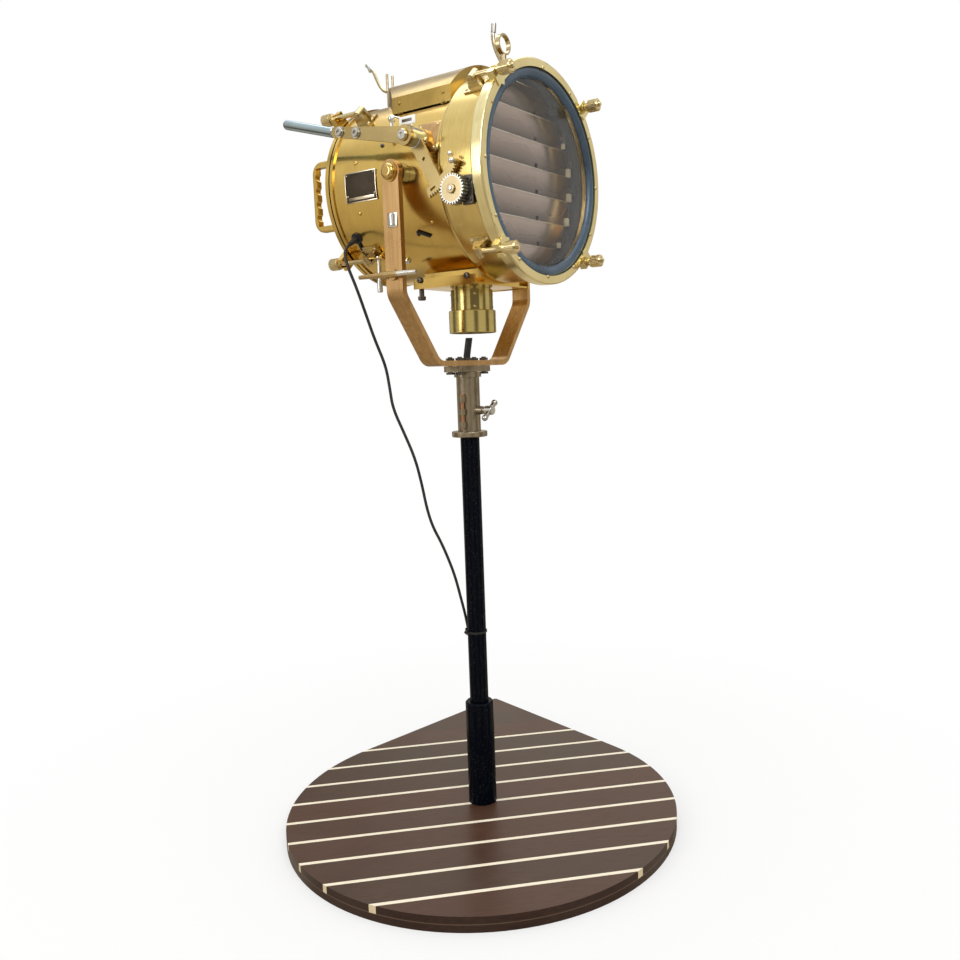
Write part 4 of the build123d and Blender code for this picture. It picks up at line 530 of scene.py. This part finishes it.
# Stanchion socket: a turned nickel-bronze casting, dull and mottled, bolted under the yoke. Its hinge pin is copper,
# and a clamp screw with a ball-ended bar grips the pole.
def metal(name, colour, deep, rough, lines=(1, 1, 1), tarnish=0.5, wave=1.0):
    """Bare metal: cloudy tarnish between two tones, polishing lines, and a surface that is not quite true."""
    finish = Finish(name, Metallic=1.0)
    clouds = finish.band(finish.noise(19, detail=7, roughness=0.6), 0.48, 0.74)
    streaks = finish.band(finish.noise(24, detail=4, scale=lines), 0.38, 0.70)
    smears = finish.noise(11, detail=5)
    finish.bump(finish.noise(70, detail=2, scale=lines) * 0.4 + finish.noise(13, detail=1) * (7 * wave), 0.10, 0.0004)
    finish.tone = finish.blend(clouds * tarnish, finish.blend(streaks * 0.16, colour, deep), deep)
    finish.sheen = finish.band(smears, 0.3, 0.7, rough * 0.75, rough * 1.35) + clouds * 0.10
    return finish


def two_tone(finish, mask, other):
    """Bare metal that turns to another tone where the mask is 1."""
    return finish.done(Base_Color=finish.blend(mask, finish.tone, other), Roughness=finish.sheen)


def plain_metal(*values, **layout):
    """Bare metal with no other pattern."""
    finish = metal(*values, **layout)
    return finish.done(Base_Color=finish.tone, Roughness=finish.sheen)


nickel_bronze = plain_metal("nickel_bronze", (0.34, 0.29, 0.21), (0.11, 0.085, 0.057), 0.30, tarnish=0.85)
finish_nodes(nickel_bronze, "stanchion_socket", "yoke_spindle")
copper_bronze = plain_metal("copper_bronze", (0.52, 0.27, 0.15), (0.26, 0.12, 0.06), 0.28)
finish_nodes(copper_bronze, "socket_hinge_pin")
steel = plain_metal("steel", (0.62, 0.62, 0.60), (0.22, 0.21, 0.20), 0.20)
finish_nodes(steel, "socket_clamp_screw")
chrome = plain_metal("chrome", (0.80, 0.81, 0.82), (0.34, 0.34, 0.35), 0.10, wave=0.4)
dark_steel = plain_metal("dark_steel", (0.13, 0.115, 0.10), (0.045, 0.04, 0.035), 0.32)
finish_nodes(dark_steel, "yoke_fasteners")
flange_side, flange_height = 0.0232, 0.6996
socket_trim = bmesh.new()
for turned in (150, 210, 330, 30):
    out = outward(turned)
    lathe(socket_trim, socket_head, out * flange_side + Vector((0, 0, flange_height)), out)
piece(socket_trim, "socket_grub_screws", "stand", dark_steel)

# Yoke: one bronze bar, 34 by 9 mm, bent to a fork and left with the long grain of its rolling. A chromed catch sits
# on the left arm, and the elevation lock is a tapered bronze bar with a plated front end.
bronze = metal("yoke_bronze", (0.60, 0.39, 0.18), (0.37, 0.21, 0.085), 0.27, lines=(6, 6, 0.25), tarnish=0.35)
fibres = bronze.band(bronze.noise(70, detail=4, scale=(3, 3, 0.06)), 0.40, 0.72)
yoke_bronze = two_tone(bronze, fibres * 0.55, (0.33, 0.17, 0.075))
finish_nodes(yoke_bronze, "yoke")
lock = metal("lock_bronze", (0.58, 0.42, 0.20), (0.34, 0.22, 0.09), 0.22, lines=(3, 0.3, 3))
plated = lock.band(lock.along(1), -0.020, -0.014, 1.0, 0.0)
finish_nodes(two_tone(lock, plated, (0.74, 0.74, 0.72)), "elevation_lock")
catch = bmesh.new()
lathe(catch, ((0, 0), (0, 0.0066), (0.0008, 0.0074), (0.0172, 0.0074), (0.018, 0.0066), (0.018, 0)),
      on_head(-0.1775, -0.0025, -0.0815), (0, 0, 1))
slab(catch, (0.019, 0.022, 0.0024), on_head(-0.1787, -0.0025, -0.0725), way=(-1, 0, 0))
piece(catch, "yoke_catch", "yoke", chrome)

# Drum: spun sheet brass, polished to a mirror that wavers, with a rolled bead behind and a dished door on a gasket.
# Dome rivets hold the trunnion plates, the lug plates and the fittings inside.
brass = plain_metal("drum_brass", (0.75, 0.535, 0.165), (0.46, 0.29, 0.072), 0.15, lines=(1, 22, 1), tarnish=0.3)
finish_nodes(brass, "drum_shell", "rear_door", "lamp_box", "rear_handles", "focus_screw", "lever_bracket")
beam = ((0, 0, trunnion_height), (0, 1, 0), (1, 0, 0), (0, 0, 1))


def growth_tree(name, **inputs):
    """A Geometry Nodes tree with these named inputs and one mesh out. Points carry the way they face."""
    tree = bpy.data.node_groups.new(name, "GeometryNodeTree")
    tree.interface.new_socket("Geometry", in_out="OUTPUT", socket_type="NodeSocketGeometry")
    for label, kind in {"Places": "Geometry", **inputs, "Finish": "Material"}.items():
        tree.interface.new_socket(label.replace("_", " "), in_out="INPUT", socket_type="NodeSocket" + kind)
    wiring = Wiring(tree)
    wiring.given = lambda label: wiring.node("NodeGroupInput", {}, output=label)
    facing = wiring.node("GeometryNodeInputNamedAttribute", {"data_type": "FLOAT_VECTOR"}, Name="facing")
    wiring.turned = wiring.node("FunctionNodeAlignRotationToVector", {"axis": "Z"}, Vector=facing)
    return wiring


def growth_end(wiring, instances):
    """End a tree: real geometry, its material, and the output."""
    real = wiring.node("GeometryNodeRealizeInstances", {}, instances)
    wiring.node("NodeGroupOutput", {}, wiring.node(
        "GeometryNodeSetMaterial", {}, Geometry=real, Material=wiring.given("Finish")))
    return wiring.tree


def grow(name, tree, places, body, finish, slot, **inputs):
    """Run a tree on (place, facing) pairs and keep the result as one plain mesh on its body."""
    seats = bpy.data.meshes.new(name)
    seats.from_pydata([tuple(place) for place, way in places], [], [])
    facing = seats.attributes.new("facing", "FLOAT_VECTOR", "POINT")
    for entry, (place, way) in zip(facing.data, places):
        entry.vector = way
    carrier = bpy.data.objects.new(name + "_seats", seats)
    bpy.context.scene.collection.objects.link(carrier)
    rows = carrier.modifiers.new("rows", "NODES")
    rows.node_group = tree
    values = {**{label.replace("_", " "): value for label, value in inputs.items()}, "Finish": finish}
    for socket in tree.interface.items_tree:
        if socket.in_out == "INPUT" and socket.name in values:
            rows[socket.identifier] = values[socket.name]
    mesh = bpy.data.meshes.new_from_object(carrier.evaluated_get(bpy.context.evaluated_depsgraph_get()))
    carrier.modifiers.remove(rows)
    bpy.data.objects.remove(carrier)
    for attribute in [a for a in mesh.attributes if a.name == "facing"]:
        mesh.attributes.remove(attribute)
    return mount(mesh, name, body, finish)


rivet_wiring = growth_tree("dome_rivets", Head_Radius="Float", Head_Height="Float")
head_radius = rivet_wiring.given("Head Radius")
dome = rivet_wiring.node("GeometryNodeMeshUVSphere", {}, Segments=16, Rings=8, Radius=head_radius, output="Mesh")
squash = rivet_wiring.node(
    "ShaderNodeCombineXYZ", {}, 1.0, 1.0, rivet_wiring.given("Head Height") / head_radius)
dome = rivet_wiring.node("GeometryNodeTransform", {}, Geometry=dome, Scale=squash)
dome_rivets = growth_end(rivet_wiring, rivet_wiring.node(
    "GeometryNodeInstanceOnPoints", {}, Points=rivet_wiring.given("Places"), Instance=dome,
    Rotation=rivet_wiring.turned))


def rivets(name, places, finish, radius, height, slot="polished_brass"):
    """Dome heads on the lamp head, one for each pair of a place and the way it faces."""
    grow(name, dome_rivets, places, "lamp_head", finish, slot, Head_Radius=radius, Head_Height=height)


drum_skin = 0.1503
drum_rivets = [round_beam(turned, drum_skin, back) for turned, back in (
    (167.7, 0.1002), (198.1, 0.0997), (12.3, 0.1002), (341.9, 0.0997),
    (210, -0.0405), (330, -0.0405), (20, 0.020), (340, 0.020), (200, 0.020), (160, 0.020))]
rivets("drum_rivets", drum_rivets, brass, 0.0034, 0.0022)
dark_studs = [
    round_beam(turned, drum_skin, back) for turned, back in ((159.6, 0.0458), (20.4, 0.0458), (216, -0.0054))]
rivets("drum_studs", dark_studs, dark_steel, 0.0036, 0.0026, "dark_plate")
cheese_head = (
    (-0.001, 0), (-0.001, 0.005), (0.003, 0.005), (0.0042, 0.0042), (0.0046, 0.0030), (0.0046, 0.0012),
    (0.0030, 0.001), (0.0030, 0))
drum_screw = bmesh.new()
for turned in (234.3, 305.7):
    place, way = round_beam(turned, drum_skin, 0.0489)
    lathe(drum_screw, cheese_head, place, way)
piece(drum_screw, "drum_screws", "lamp_head", chrome)
fittings = bmesh.new()
stud_wire = [round_beam(turned, 0.1522, -0.006 - (turned - 214) * 0.0052)[0] for turned in (214, 215.5, 217, 218.2)]
tube(fittings, stud_wire, 0.0022)
gland_wire = [round_beam(213.4 + 1.3 * k, 0.1524, 0.124 + 0.0003 * k)[0] for k in range(11)]
tube(fittings, gland_wire, 0.0019)
piece(fittings, "drum_wires", "lamp_head", sheath_finish)
underside = bmesh.new()
clamp_screw_outline = (
    (0, 0), (0, 0.0052), (0.004, 0.0052), (0.0046, 0.0034), (0.040, 0.0034), (0.0405, 0.0046), (0.058, 0.0046),
    (0.0592, 0.0034), (0.0592, 0))
lathe(underside, clamp_screw_outline, on_head(-0.1065, 0.0965, -0.1125), (0, 0, -1))
piece(underside, "cable_clamp_screw", "lamp_head", chrome)
cleat = bmesh.new()
bent_plate(cleat, beam, 0.1502, 0.1530, 0.088, 0.130, 226.0, 231.5)
slab(cleat, (0.022, 0.030, 0.0022), on_head(-0.1085, 0.1010, -0.1165), turn=0.35)
piece(cleat, "cable_cleat", "lamp_head", brass)
pivots = metal("trunnion_brass", (0.70, 0.50, 0.19), (0.42, 0.26, 0.08), 0.13)
inboard = pivots.band(pivots.along(0).math("ABSOLUTE"), 0.1684, 0.1686, 1.0, 0.0)
finish_nodes(two_tone(pivots, inboard, (0.60, 0.62, 0.62)), "trunnions")

# Vent hood: folded sheet brass over the drum's vent holes, open underneath and held by four pairs of small rivets.
# Its brass is darker than the drum's.
hood_brass = plain_metal(
    "hood_brass", (0.42, 0.295, 0.088), (0.27, 0.17, 0.047), 0.20, lines=(1, 14, 1), tarnish=0.45)
finish_nodes(hood_brass, "vent_hood")
hood_side = 0.1082
hood_rivets = [
    (on_head(way * hood_side, back, rise), Vector((way, 0, 0)))
    for way in (-1, 1) for back in (-0.055, 0.035) for rise in (0.108, 0.122)
]
rivets("hood_rivets", hood_rivets, hood_brass, 0.0028, 0.0017)
hem = bmesh.new()
for way in (-1, 1):
    slab(hem, (0.0024, 0.118, 0.0034), on_head(way * 0.1086, -0.0095, 0.0989), edge=0.0009)
piece(hem, "hood_hem", "lamp_head", hood_brass)

# Front housing and door ring: cast brass, paler than the drum, turned bright; the door ring's still paler brass is a
# painted highlight. Eight swing bolts with fluted knobs hold the doors, each in a riveted lug plate. The bezel is
# slate-blue paint over brass, behind it clear plate glass.
front_brass = plain_metal("front_brass", (0.74, 0.57, 0.22), (0.44, 0.30, 0.09), 0.15, lines=(1, 16, 1), tarnish=0.3)
finish_nodes(front_brass, "front_housing")
knob_brass = plain_metal("knob_brass", (0.76, 0.64, 0.37), (0.34, 0.25, 0.12), 0.16, tarnish=0.6)
finish_nodes(knob_brass, "clamp_lugs")
# The door ring's pale brass is a painted highlight, paler than the housing's brass.
ring_brass = plain_metal("ring_brass", (0.88, 0.78, 0.44), (0.56, 0.44, 0.18), 0.16, lines=(1, 16, 1), tarnish=0.3)
finish_nodes(ring_brass, "door_ring")
quarter_turns = (45, 135, 225, 315)
lug_rivets = [
    round_beam(turned + aside, radius, pivot + along)
    for turned in quarter_turns for radius, pivot in ((0.1668, -0.128), (0.1528, 0.112))
    for along in (-0.0145, 0.0145) for aside in (-3.6, 3.6)
]
rivets("lug_rivets", lug_rivets, knob_brass, 0.0026, 0.0017)

flute_wiring = growth_tree(
    "knob_flutes", Knob_Radius="Float", Flute_Length="Float", Flute_Radius="Float", Flute_Count="Int")
hoop = flute_wiring.node(
    "GeometryNodeMeshCircle", {}, Vertices=flute_wiring.given("Flute Count"),
    Radius=flute_wiring.given("Knob Radius"))
flute = flute_wiring.node(
    "GeometryNodeMeshCylinder", {}, Vertices=8, Radius=flute_wiring.given("Flute Radius"),
    Depth=flute_wiring.given("Flute Length"), output="Mesh")
fluted = flute_wiring.node("GeometryNodeRealizeInstances", {}, flute_wiring.node(
    "GeometryNodeInstanceOnPoints", {}, Points=hoop, Instance=flute))
knob_flutes = growth_end(flute_wiring, flute_wiring.node(
    "GeometryNodeInstanceOnPoints", {}, Points=flute_wiring.given("Places"), Instance=fluted,
    Rotation=flute_wiring.turned))

for name, turned in zip(("right_upper", "left_upper", "left_lower", "right_lower"), quarter_turns):
    for end, reach, back, way in (("front", 0.180, -0.1883, -1), ("rear", 0.168, 0.1854, 1)):
        body = f"{end}_clamp_{name}"
        finish_nodes(knob_brass, body)
        place = round_beam(turned, reach, back)[0]
        grow(body + "_flutes", knob_flutes, [(place, Vector((0, way, 0)))], body, knob_brass, "polished_brass",
             Knob_Radius=0.0094, Flute_Length=0.0165, Flute_Radius=0.00075, Flute_Count=26)

bezel = Finish("slate_bezel", Metallic=0.25)
worn = bezel.band(bezel.noise(45, detail=7, roughness=0.65), 0.60, 0.76)
bezel_tone = bezel.blend(
    bezel.band(bezel.noise(9, detail=2), 0.35, 0.65), (0.040, 0.066, 0.100), (0.074, 0.118, 0.168))
bezel.bump(bezel.noise(220, detail=3), 0.08, 0.0003)
finish_nodes(bezel.done(
    Base_Color=bezel.blend(worn * 0.35, bezel_tone, (0.15, 0.18, 0.20)),
    Roughness=bezel.uneven(30, 0.22, 0.36)), "bezel_ring")
door_pins = [(round_beam(turned, 0.1605, -0.1704)[0], Vector((0, -1, 0))) for turned in range(0, 360, 30)]
rivets("door_pins", door_pins, knob_brass, 0.0030, 0.0019)
glass = Finish("clear_glass", Transmission_Weight=1.0, IOR=1.28)
finish_nodes(glass.done(Roughness=glass.uneven(14, 0.004, 0.012, detail=2)), "front_glass", "bulb")

# Shutter: seven polished vanes of thin plated sheet that close like a blind in a grey enamelled frame. The upper edge
# of each vane is rolled to a bead and laps over the next, and the bead's paler metal is a painted highlight along the
# lap. Each vane is painted darker towards its lower edge, as shade under the lap. Pale cream blocks at the right end
# of five of them are painted reflections of the vanes' end lugs.
vane_count, vane_pitch, top_vane = 7, 0.042, 0.126
lap_line, bead_line, bead_radius = 0.0209, -0.1243, 0.0010
frame_radius, widest_half, shutter_foot = 0.1545, 0.150, 0.147
plated_sheet = metal(
    "vane_metal", (0.52, 0.40, 0.32), (0.33, 0.255, 0.205), 0.20, lines=(0.3, 6, 6), tarnish=0.0, wave=0.1)
# Each vane is painted darker towards its lower edge, as shade under the lap of the vane above.
in_vane = ((plated_sheet.along(2) - (trunnion_height - shutter_foot)) / vane_pitch).math("FRACT")
painted_lap_shade = plated_sheet.band(in_vane, 0.08, 0.85, 0.82, 0.0)
vane_metal = plated_sheet.done(
    Base_Color=plated_sheet.blend(painted_lap_shade, plated_sheet.tone, (0.085, 0.068, 0.058)),
    Roughness=plated_sheet.uneven(9, 0.16, 0.27, detail=2) + painted_lap_shade * 0.12)
# The beads' pale metal is a painted highlight along each vane's lap; the nameplate trim uses the same pale metal.
bead_metal = plain_metal("bead_metal", (0.92, 0.83, 0.68), (0.62, 0.54, 0.42), 0.22)
# Pale cream paint for the blocks at the vanes' right ends: painted reflections of their end lugs.
clip_paint = Finish("clip_paint", Base_Color=(0.95, 0.80, 0.52, 1))
clip_paint.bump(clip_paint.noise(300), 0.1, 0.0002)
painted_reflection_finish = clip_paint.done(Roughness=clip_paint.uneven(80, 0.35, 0.55))
reflection_widths = {1: 0.006, 2: 0.0095, 3: 0.0095, 4: 0.0095, 5: 0.006}
reflection_line, reflection_drop, reflection_depth, reflection_height = -0.1238, 0.0340, 0.0064, 1.45
finish_nodes(vane_metal, "link_bar")
for k in range(vane_count):
    body = f"vane_{k + 1}"
    finish_nodes(vane_metal, body)
    left_end, right_end = abs(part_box(body)[0][0]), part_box(body)[1][0]
    rise = top_vane - vane_pitch * k + lap_line
    half = min(math.sqrt(frame_radius ** 2 - rise ** 2) - 0.004, max(left_end, 0.05) - 0.002, widest_half)
    bead = bmesh.new()
    lathe(bead, ((0, 0), (0, bead_radius), (2 * half, bead_radius), (2 * half, 0)),
          on_head(-half, bead_line, rise), (1, 0, 0), 10)
    piece(bead, f"{body}_bead", body, bead_metal)
    if k in reflection_widths:
        wide = reflection_widths[k]
        reach = min(math.sqrt(frame_radius ** 2 - (rise - vane_pitch) ** 2), widest_half, right_end) - 0.006
        # A pale cream block: a painted reflection at the vane's right end.
        clip = bmesh.new()
        slab(clip, (wide, reflection_depth, reflection_height * wide), on_head(reach, reflection_line, rise - reflection_drop))
        piece(clip, f"{body}_clip", body, painted_reflection_finish)
inner = Finish("grey_enamel")
inner.bump(inner.noise(260), 0.06, 0.0002)
finish_nodes(inner.done(
    Base_Color=inner.blend(
        inner.band(inner.noise(12, detail=4), 0.35, 0.7), (0.125, 0.145, 0.155), (0.085, 0.10, 0.11)),
    Roughness=inner.uneven(40, 0.30, 0.46)), "shutter_frame")

# Signal lever: a flat brass bar on a plated hub, with a toothed sector that turns the pinion on the fifth vane's rod.
# Socket screws with washers hold the blued handle. A bare ivory tag with a dark field, and a ball with its stay, sit
# by the hub, and a bronze foot carries the lever on the drum.
hub_place = on_head(0, -0.0452, 0.0442)
pinion_place = on_head(0, -0.122, -0.042)
leftward = (-1, 0, 0)
lever = metal("lever_brass", (0.47, 0.365, 0.17), (0.31, 0.225, 0.095), 0.24, lines=(6, 1, 3), tarnish=0.4)
from_hub = ((lever.along(1) - hub_place.y) ** 2 + (lever.along(2) - hub_place.z) ** 2) ** 0.5
barrel = lever.band(from_hub, 0.0156, 0.0158, 1.0, 0.0) * lever.band(lever.along(0), -0.1879, -0.1877)
finish_nodes(two_tone(lever, barrel, (0.72, 0.75, 0.76)), "signal_lever")
blued = plain_metal("blued_steel", (0.40, 0.50, 0.57), (0.20, 0.25, 0.29), 0.16, lines=(4, 0.3, 4))
finish_nodes(blued, "lever_handle")
pinion = metal("pinion_nickel", (0.55, 0.45, 0.27), (0.34, 0.26, 0.14), 0.24)
from_pinion = ((pinion.along(1) - pinion_place.y) ** 2 + (pinion.along(2) - pinion_place.z) ** 2) ** 0.5
rim = pinion.band(from_pinion, 0.0178, 0.0186)
finish_nodes(two_tone(pinion, rim, (0.66, 0.68, 0.68)), "shutter_pinion")

bolt_outline = (
    (-0.0136, 0), (-0.0136, 0.004), (0, 0.004), (0, 0.0083), (0.0014, 0.0083), (0.0014, 0.0066), (0.0042, 0.0064),
    (0.0048, 0.0056), (0.0048, 0.0031), (0.0018, 0.0029), (0.0018, 0))
lever_bolts = bmesh.new()
for back, rise in ((0.0850, 0.0696), (0.0500, 0.0627)):
    lathe(lever_bolts, bolt_outline, on_head(-0.1943, back, rise), leftward)
socket_screws = piece(lever_bolts, "lever_screws", "signal_lever", steel)
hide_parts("lever_bolts")
cap_outline = (
    (-0.001, 0), (-0.001, 0.0078), (0.0010, 0.0078), (0.0018, 0.0070), (0.0018, 0.0034), (0.0002, 0.0032), (0.0002, 0))
pivot_cap = bmesh.new()
lathe(pivot_cap, cap_outline, (-0.1973, hub_place.y, hub_place.z), leftward)
piece(pivot_cap, "lever_pivot_cap", "lamp_head", steel)

ivory = Finish("ivory_tag", Base_Color=(0.80, 0.79, 0.74, 1))
ivory.bump(ivory.noise(120), 0.05, 0.0002)
yellowed = ivory.band(ivory.noise(60, detail=5), 0.5, 0.75)
ivory_finish = ivory.done(
    Base_Color=ivory.blend(yellowed * 0.5, (0.82, 0.81, 0.76), (0.52, 0.48, 0.40)),
    Roughness=ivory.uneven(70, 0.25, 0.45))
tag = bmesh.new()
tag_place = on_head(-0.1895, -0.0500, 0.0648)
slab(tag, (0.031, 0.0125, 0.0022), tag_place, way=leftward, edge=0.0010)
piece(tag, "lever_tag", "signal_lever", ivory_finish)
tag_field = bmesh.new()
slab(tag_field, (0.019, 0.0042, 0.0008), tag_place + Vector((-0.0012, 0, 0)), way=leftward, edge=0.0003)
piece(tag_field, "lever_tag_field", "signal_lever", dark_steel)


def ball_outline(height, radius, turns):
    """The outline of a ball whose middle is this far up its stem."""
    around = [math.radians(turn) for turn in turns]
    return [(height - radius * math.cos(turn), radius * math.sin(turn)) for turn in around] + [(height + radius, 0)]


ball = bmesh.new()
stem = [(0, 0), (0, 0.0032), (0.010, 0.0030)]
lathe(ball, stem + ball_outline(0.0155, 0.0058, range(35, 180, 12)), on_head(-0.1870, -0.0175, 0.0575), (0, 0, 1))
tube(ball, [on_head(-0.1870, -0.0175, 0.0770), on_head(-0.1865, -0.0340, 0.0710),
            on_head(-0.1862, -0.0480, 0.0650), on_head(-0.1860, -0.0560, 0.0560)], 0.0013)
piece(ball, "lever_ball_and_stay", "signal_lever", chrome)
stops = bmesh.new()
stop_reach = 0.0060
for back, rise, radius in ((-0.1220, -0.0015, 0.0044), (-0.1195, 0.0085, 0.0034)):
    seat = on_head(-0.1735, back, rise)
    lathe(stops, ball_outline(stop_reach, radius, range(0, 180, 15)), seat, leftward)
    lathe(stops, ((0, 0), (0, 0.0022), (stop_reach, 0.0022), (stop_reach, 0)), seat, leftward, 14)
piece(stops, "sector_stop_pins", "signal_lever", chrome)
pinion_screw = bmesh.new()
lathe(pinion_screw, ((-0.0006, 0), (-0.0006, 0.0032), (0.0010, 0.0032), (0.0018, 0.0024), (0.0022, 0)),
      pinion_place + Vector((-0.1853, 0, 0)), leftward)
piece(pinion_screw, "pinion_screw", "vane_5", chrome)
bearing = bmesh.new()
slab(bearing, (0.0075, 0.020, 0.042), on_head(-0.1612, -0.1385, -0.043), edge=0.0014)
for rise in (-0.0290, -0.0570):
    lathe(bearing, socket_head, on_head(-0.1648, -0.1420, rise), leftward)
piece(bearing, "pinion_bearing", "lamp_head", dark_steel)
foot = bmesh.new()
bent_plate(foot, beam, 0.1500, 0.1526, -0.0705, -0.0260, 151.5, 171.0)
piece(foot, "lever_foot_plate", "lamp_head", yoke_bronze)
foot_rivets = [round_beam(turned, 0.1527, back) for turned in (154, 168.5) for back in (-0.0650, -0.0310)]
rivets("lever_foot_rivets", foot_rivets, knob_brass, 0.0026, 0.0016)

# Nameplate: a bare dark plate bent to the drum, with a thin brass rim, a bright strip along its foot and four rivets.
# It carries no words, and its field is darkened brass with rubbed places.
field = metal("plate_field", (0.075, 0.060, 0.045), (0.022, 0.017, 0.013), 0.34, tarnish=0.8)
rubbed = field.band(field.noise(55, detail=6, roughness=0.7), 0.62, 0.76)
finish_nodes(two_tone(field, rubbed * 0.6, (0.33, 0.25, 0.12)), "nameplate")
plate_face, rim_face = 0.1512, 0.1523
plate_near, plate_far = 0.0540, 0.1220
plate_top, plate_foot = 173.3, 191.5
plate_trim = bmesh.new()
for low, high in ((plate_top, 174.0), (190.8, plate_foot)):
    bent_plate(plate_trim, beam, plate_face, rim_face, plate_near, plate_far, low, high, steps=2, edge=0.0003)
for near, far in ((plate_near, 0.0558), (0.1202, plate_far)):
    bent_plate(plate_trim, beam, plate_face, rim_face, near, far, plate_top, plate_foot, edge=0.0003)
bent_plate(plate_trim, beam, plate_face, 0.1519, 0.0600, 0.1160, 188.2, 189.9, steps=3, edge=0.0002)
piece(plate_trim, "nameplate_trim", "lamp_head", bead_metal)
plate_rivets = [round_beam(turned, 0.1515, back) for turned in (174.9, 187.3) for back in (0.0585, 0.1175)]
rivets("nameplate_rivets", plate_rivets, knob_brass, 0.0017, 0.0013)

# Sights: a band ring on a post in front and a two-pronged fork behind, each with a curved horn for a guard. They are
# brass, and the horns' ends are plated.
sight = metal("sight_brass", (0.58, 0.49, 0.31), (0.20, 0.145, 0.085), 0.20, tarnish=0.85)
tip = sight.band(sight.along(2), trunnion_height + 0.2285, trunnion_height + 0.2315)
finish_nodes(two_tone(sight, tip, (0.74, 0.75, 0.76)), "front_sight", "rear_sight")
horn_caps = bmesh.new()
for low, high, radius in (
    ((0, -0.0776, 0.2330), (0, -0.0789, 0.2488), 0.0042),
    ((0, 0.1925, 0.2275), (0, 0.2003, 0.2425), 0.0035),
):
    run = Vector(high) - Vector(low)
    reach = run.length
    cap_outline = ((0, 0), (0, radius * 0.85), (0.0006, radius), (reach - 0.0022, radius),
                   (reach - 0.0006, radius * 0.72), (reach, 0))
    lathe(horn_caps, cap_outline, on_head(*low), run, 20)
piece(horn_caps, "sight_horn_caps", "lamp_head", steel)

# Lamp box and lamp cup: sheet brass under the drum, with side rails held by screws, and a turned cup with four
# straps where the lamp base goes in.
cup_brass = plain_metal("cup_brass", (0.63, 0.53, 0.21), (0.38, 0.28, 0.09), 0.18, lines=(1, 1, 14), tarnish=0.45)
finish_nodes(cup_brass, "lamp_base_housing")
box_side, box_foot = 0.0779, -0.1680
foot_bolt = ((0, 0), (0, 0.0042), (0.012, 0.0042), (0.0125, 0.0068), (0.018, 0.0066), (0.019, 0.0052), (0.019, 0))
rail_screws = bmesh.new()
for way in (-1, 1):
    for back in (-0.066, 0.032):
        lathe(rail_screws, cheese_head, on_head(way * box_side, back, -0.155), (way, 0, 0))
    lathe(rail_screws, foot_bolt, on_head(way * 0.066, 0.040, box_foot), (0, 0, -1), 18)
piece(rail_screws, "rail_screws", "lamp_head", dark_steel)
strap_face, cup_back = 0.0351, -0.015
strap_rivets = [
    (outward(turned) * strap_face + on_head(0, cup_back, rise), outward(turned))
    for turned in quarter_turns for rise in (-0.1780, -0.1995)
]
rivets("cup_strap_rivets", strap_rivets, knob_brass, 0.0026, 0.0017)

# Inside the drum: a spun and silvered reflector faces the shutter, with the lamp before it in a glazed porcelain
# holder. The focusing screw passes through the rear door and ends in a fluted brass knob.
silvered = Finish("silvered", Metallic=1.0)
silvered.bump(silvered.noise(9, detail=1), 0.05, 0.0006)
clouded = silvered.band(silvered.noise(20, detail=6), 0.55, 0.75)
finish_nodes(silvered.done(
    Base_Color=silvered.blend(clouded * 0.4, (0.92, 0.92, 0.91), (0.62, 0.60, 0.55)),
    Roughness=silvered.uneven(14, 0.04, 0.12)), "reflector")
porcelain = Finish("porcelain")
porcelain.bump(porcelain.noise(120), 0.04, 0.0002)
scorched = porcelain.band(porcelain.noise(30, detail=5), 0.55, 0.75)
finish_nodes(porcelain.done(
    Base_Color=porcelain.blend(scorched * 0.5, (0.78, 0.77, 0.72), (0.55, 0.49, 0.38)),
    Roughness=porcelain.uneven(40, 0.10, 0.22)), "lamp_holder")
grow("focus_knob_flutes", knob_flutes, [(on_head(0, 0.2081, 0), Vector((0, 1, 0)))], "focus", knob_brass,
     "polished_brass", Knob_Radius=0.0169, Flute_Length=0.011, Flute_Radius=0.0009, Flute_Count=40)

# Rear door and handles: the dished sheet door has two cast brass handles with finger grips. Steel cheese-head screws
# through the feet of the handles hold them to the door.
door_screws = bmesh.new()
for way in (-1, 1):
    for rise in (-0.059, 0.043):
        lathe(door_screws, cheese_head, on_head(way * 0.1175, 0.1660, rise), (0, 1, 0))
piece(door_screws, "rear_door_screws", "lamp_head", steel)
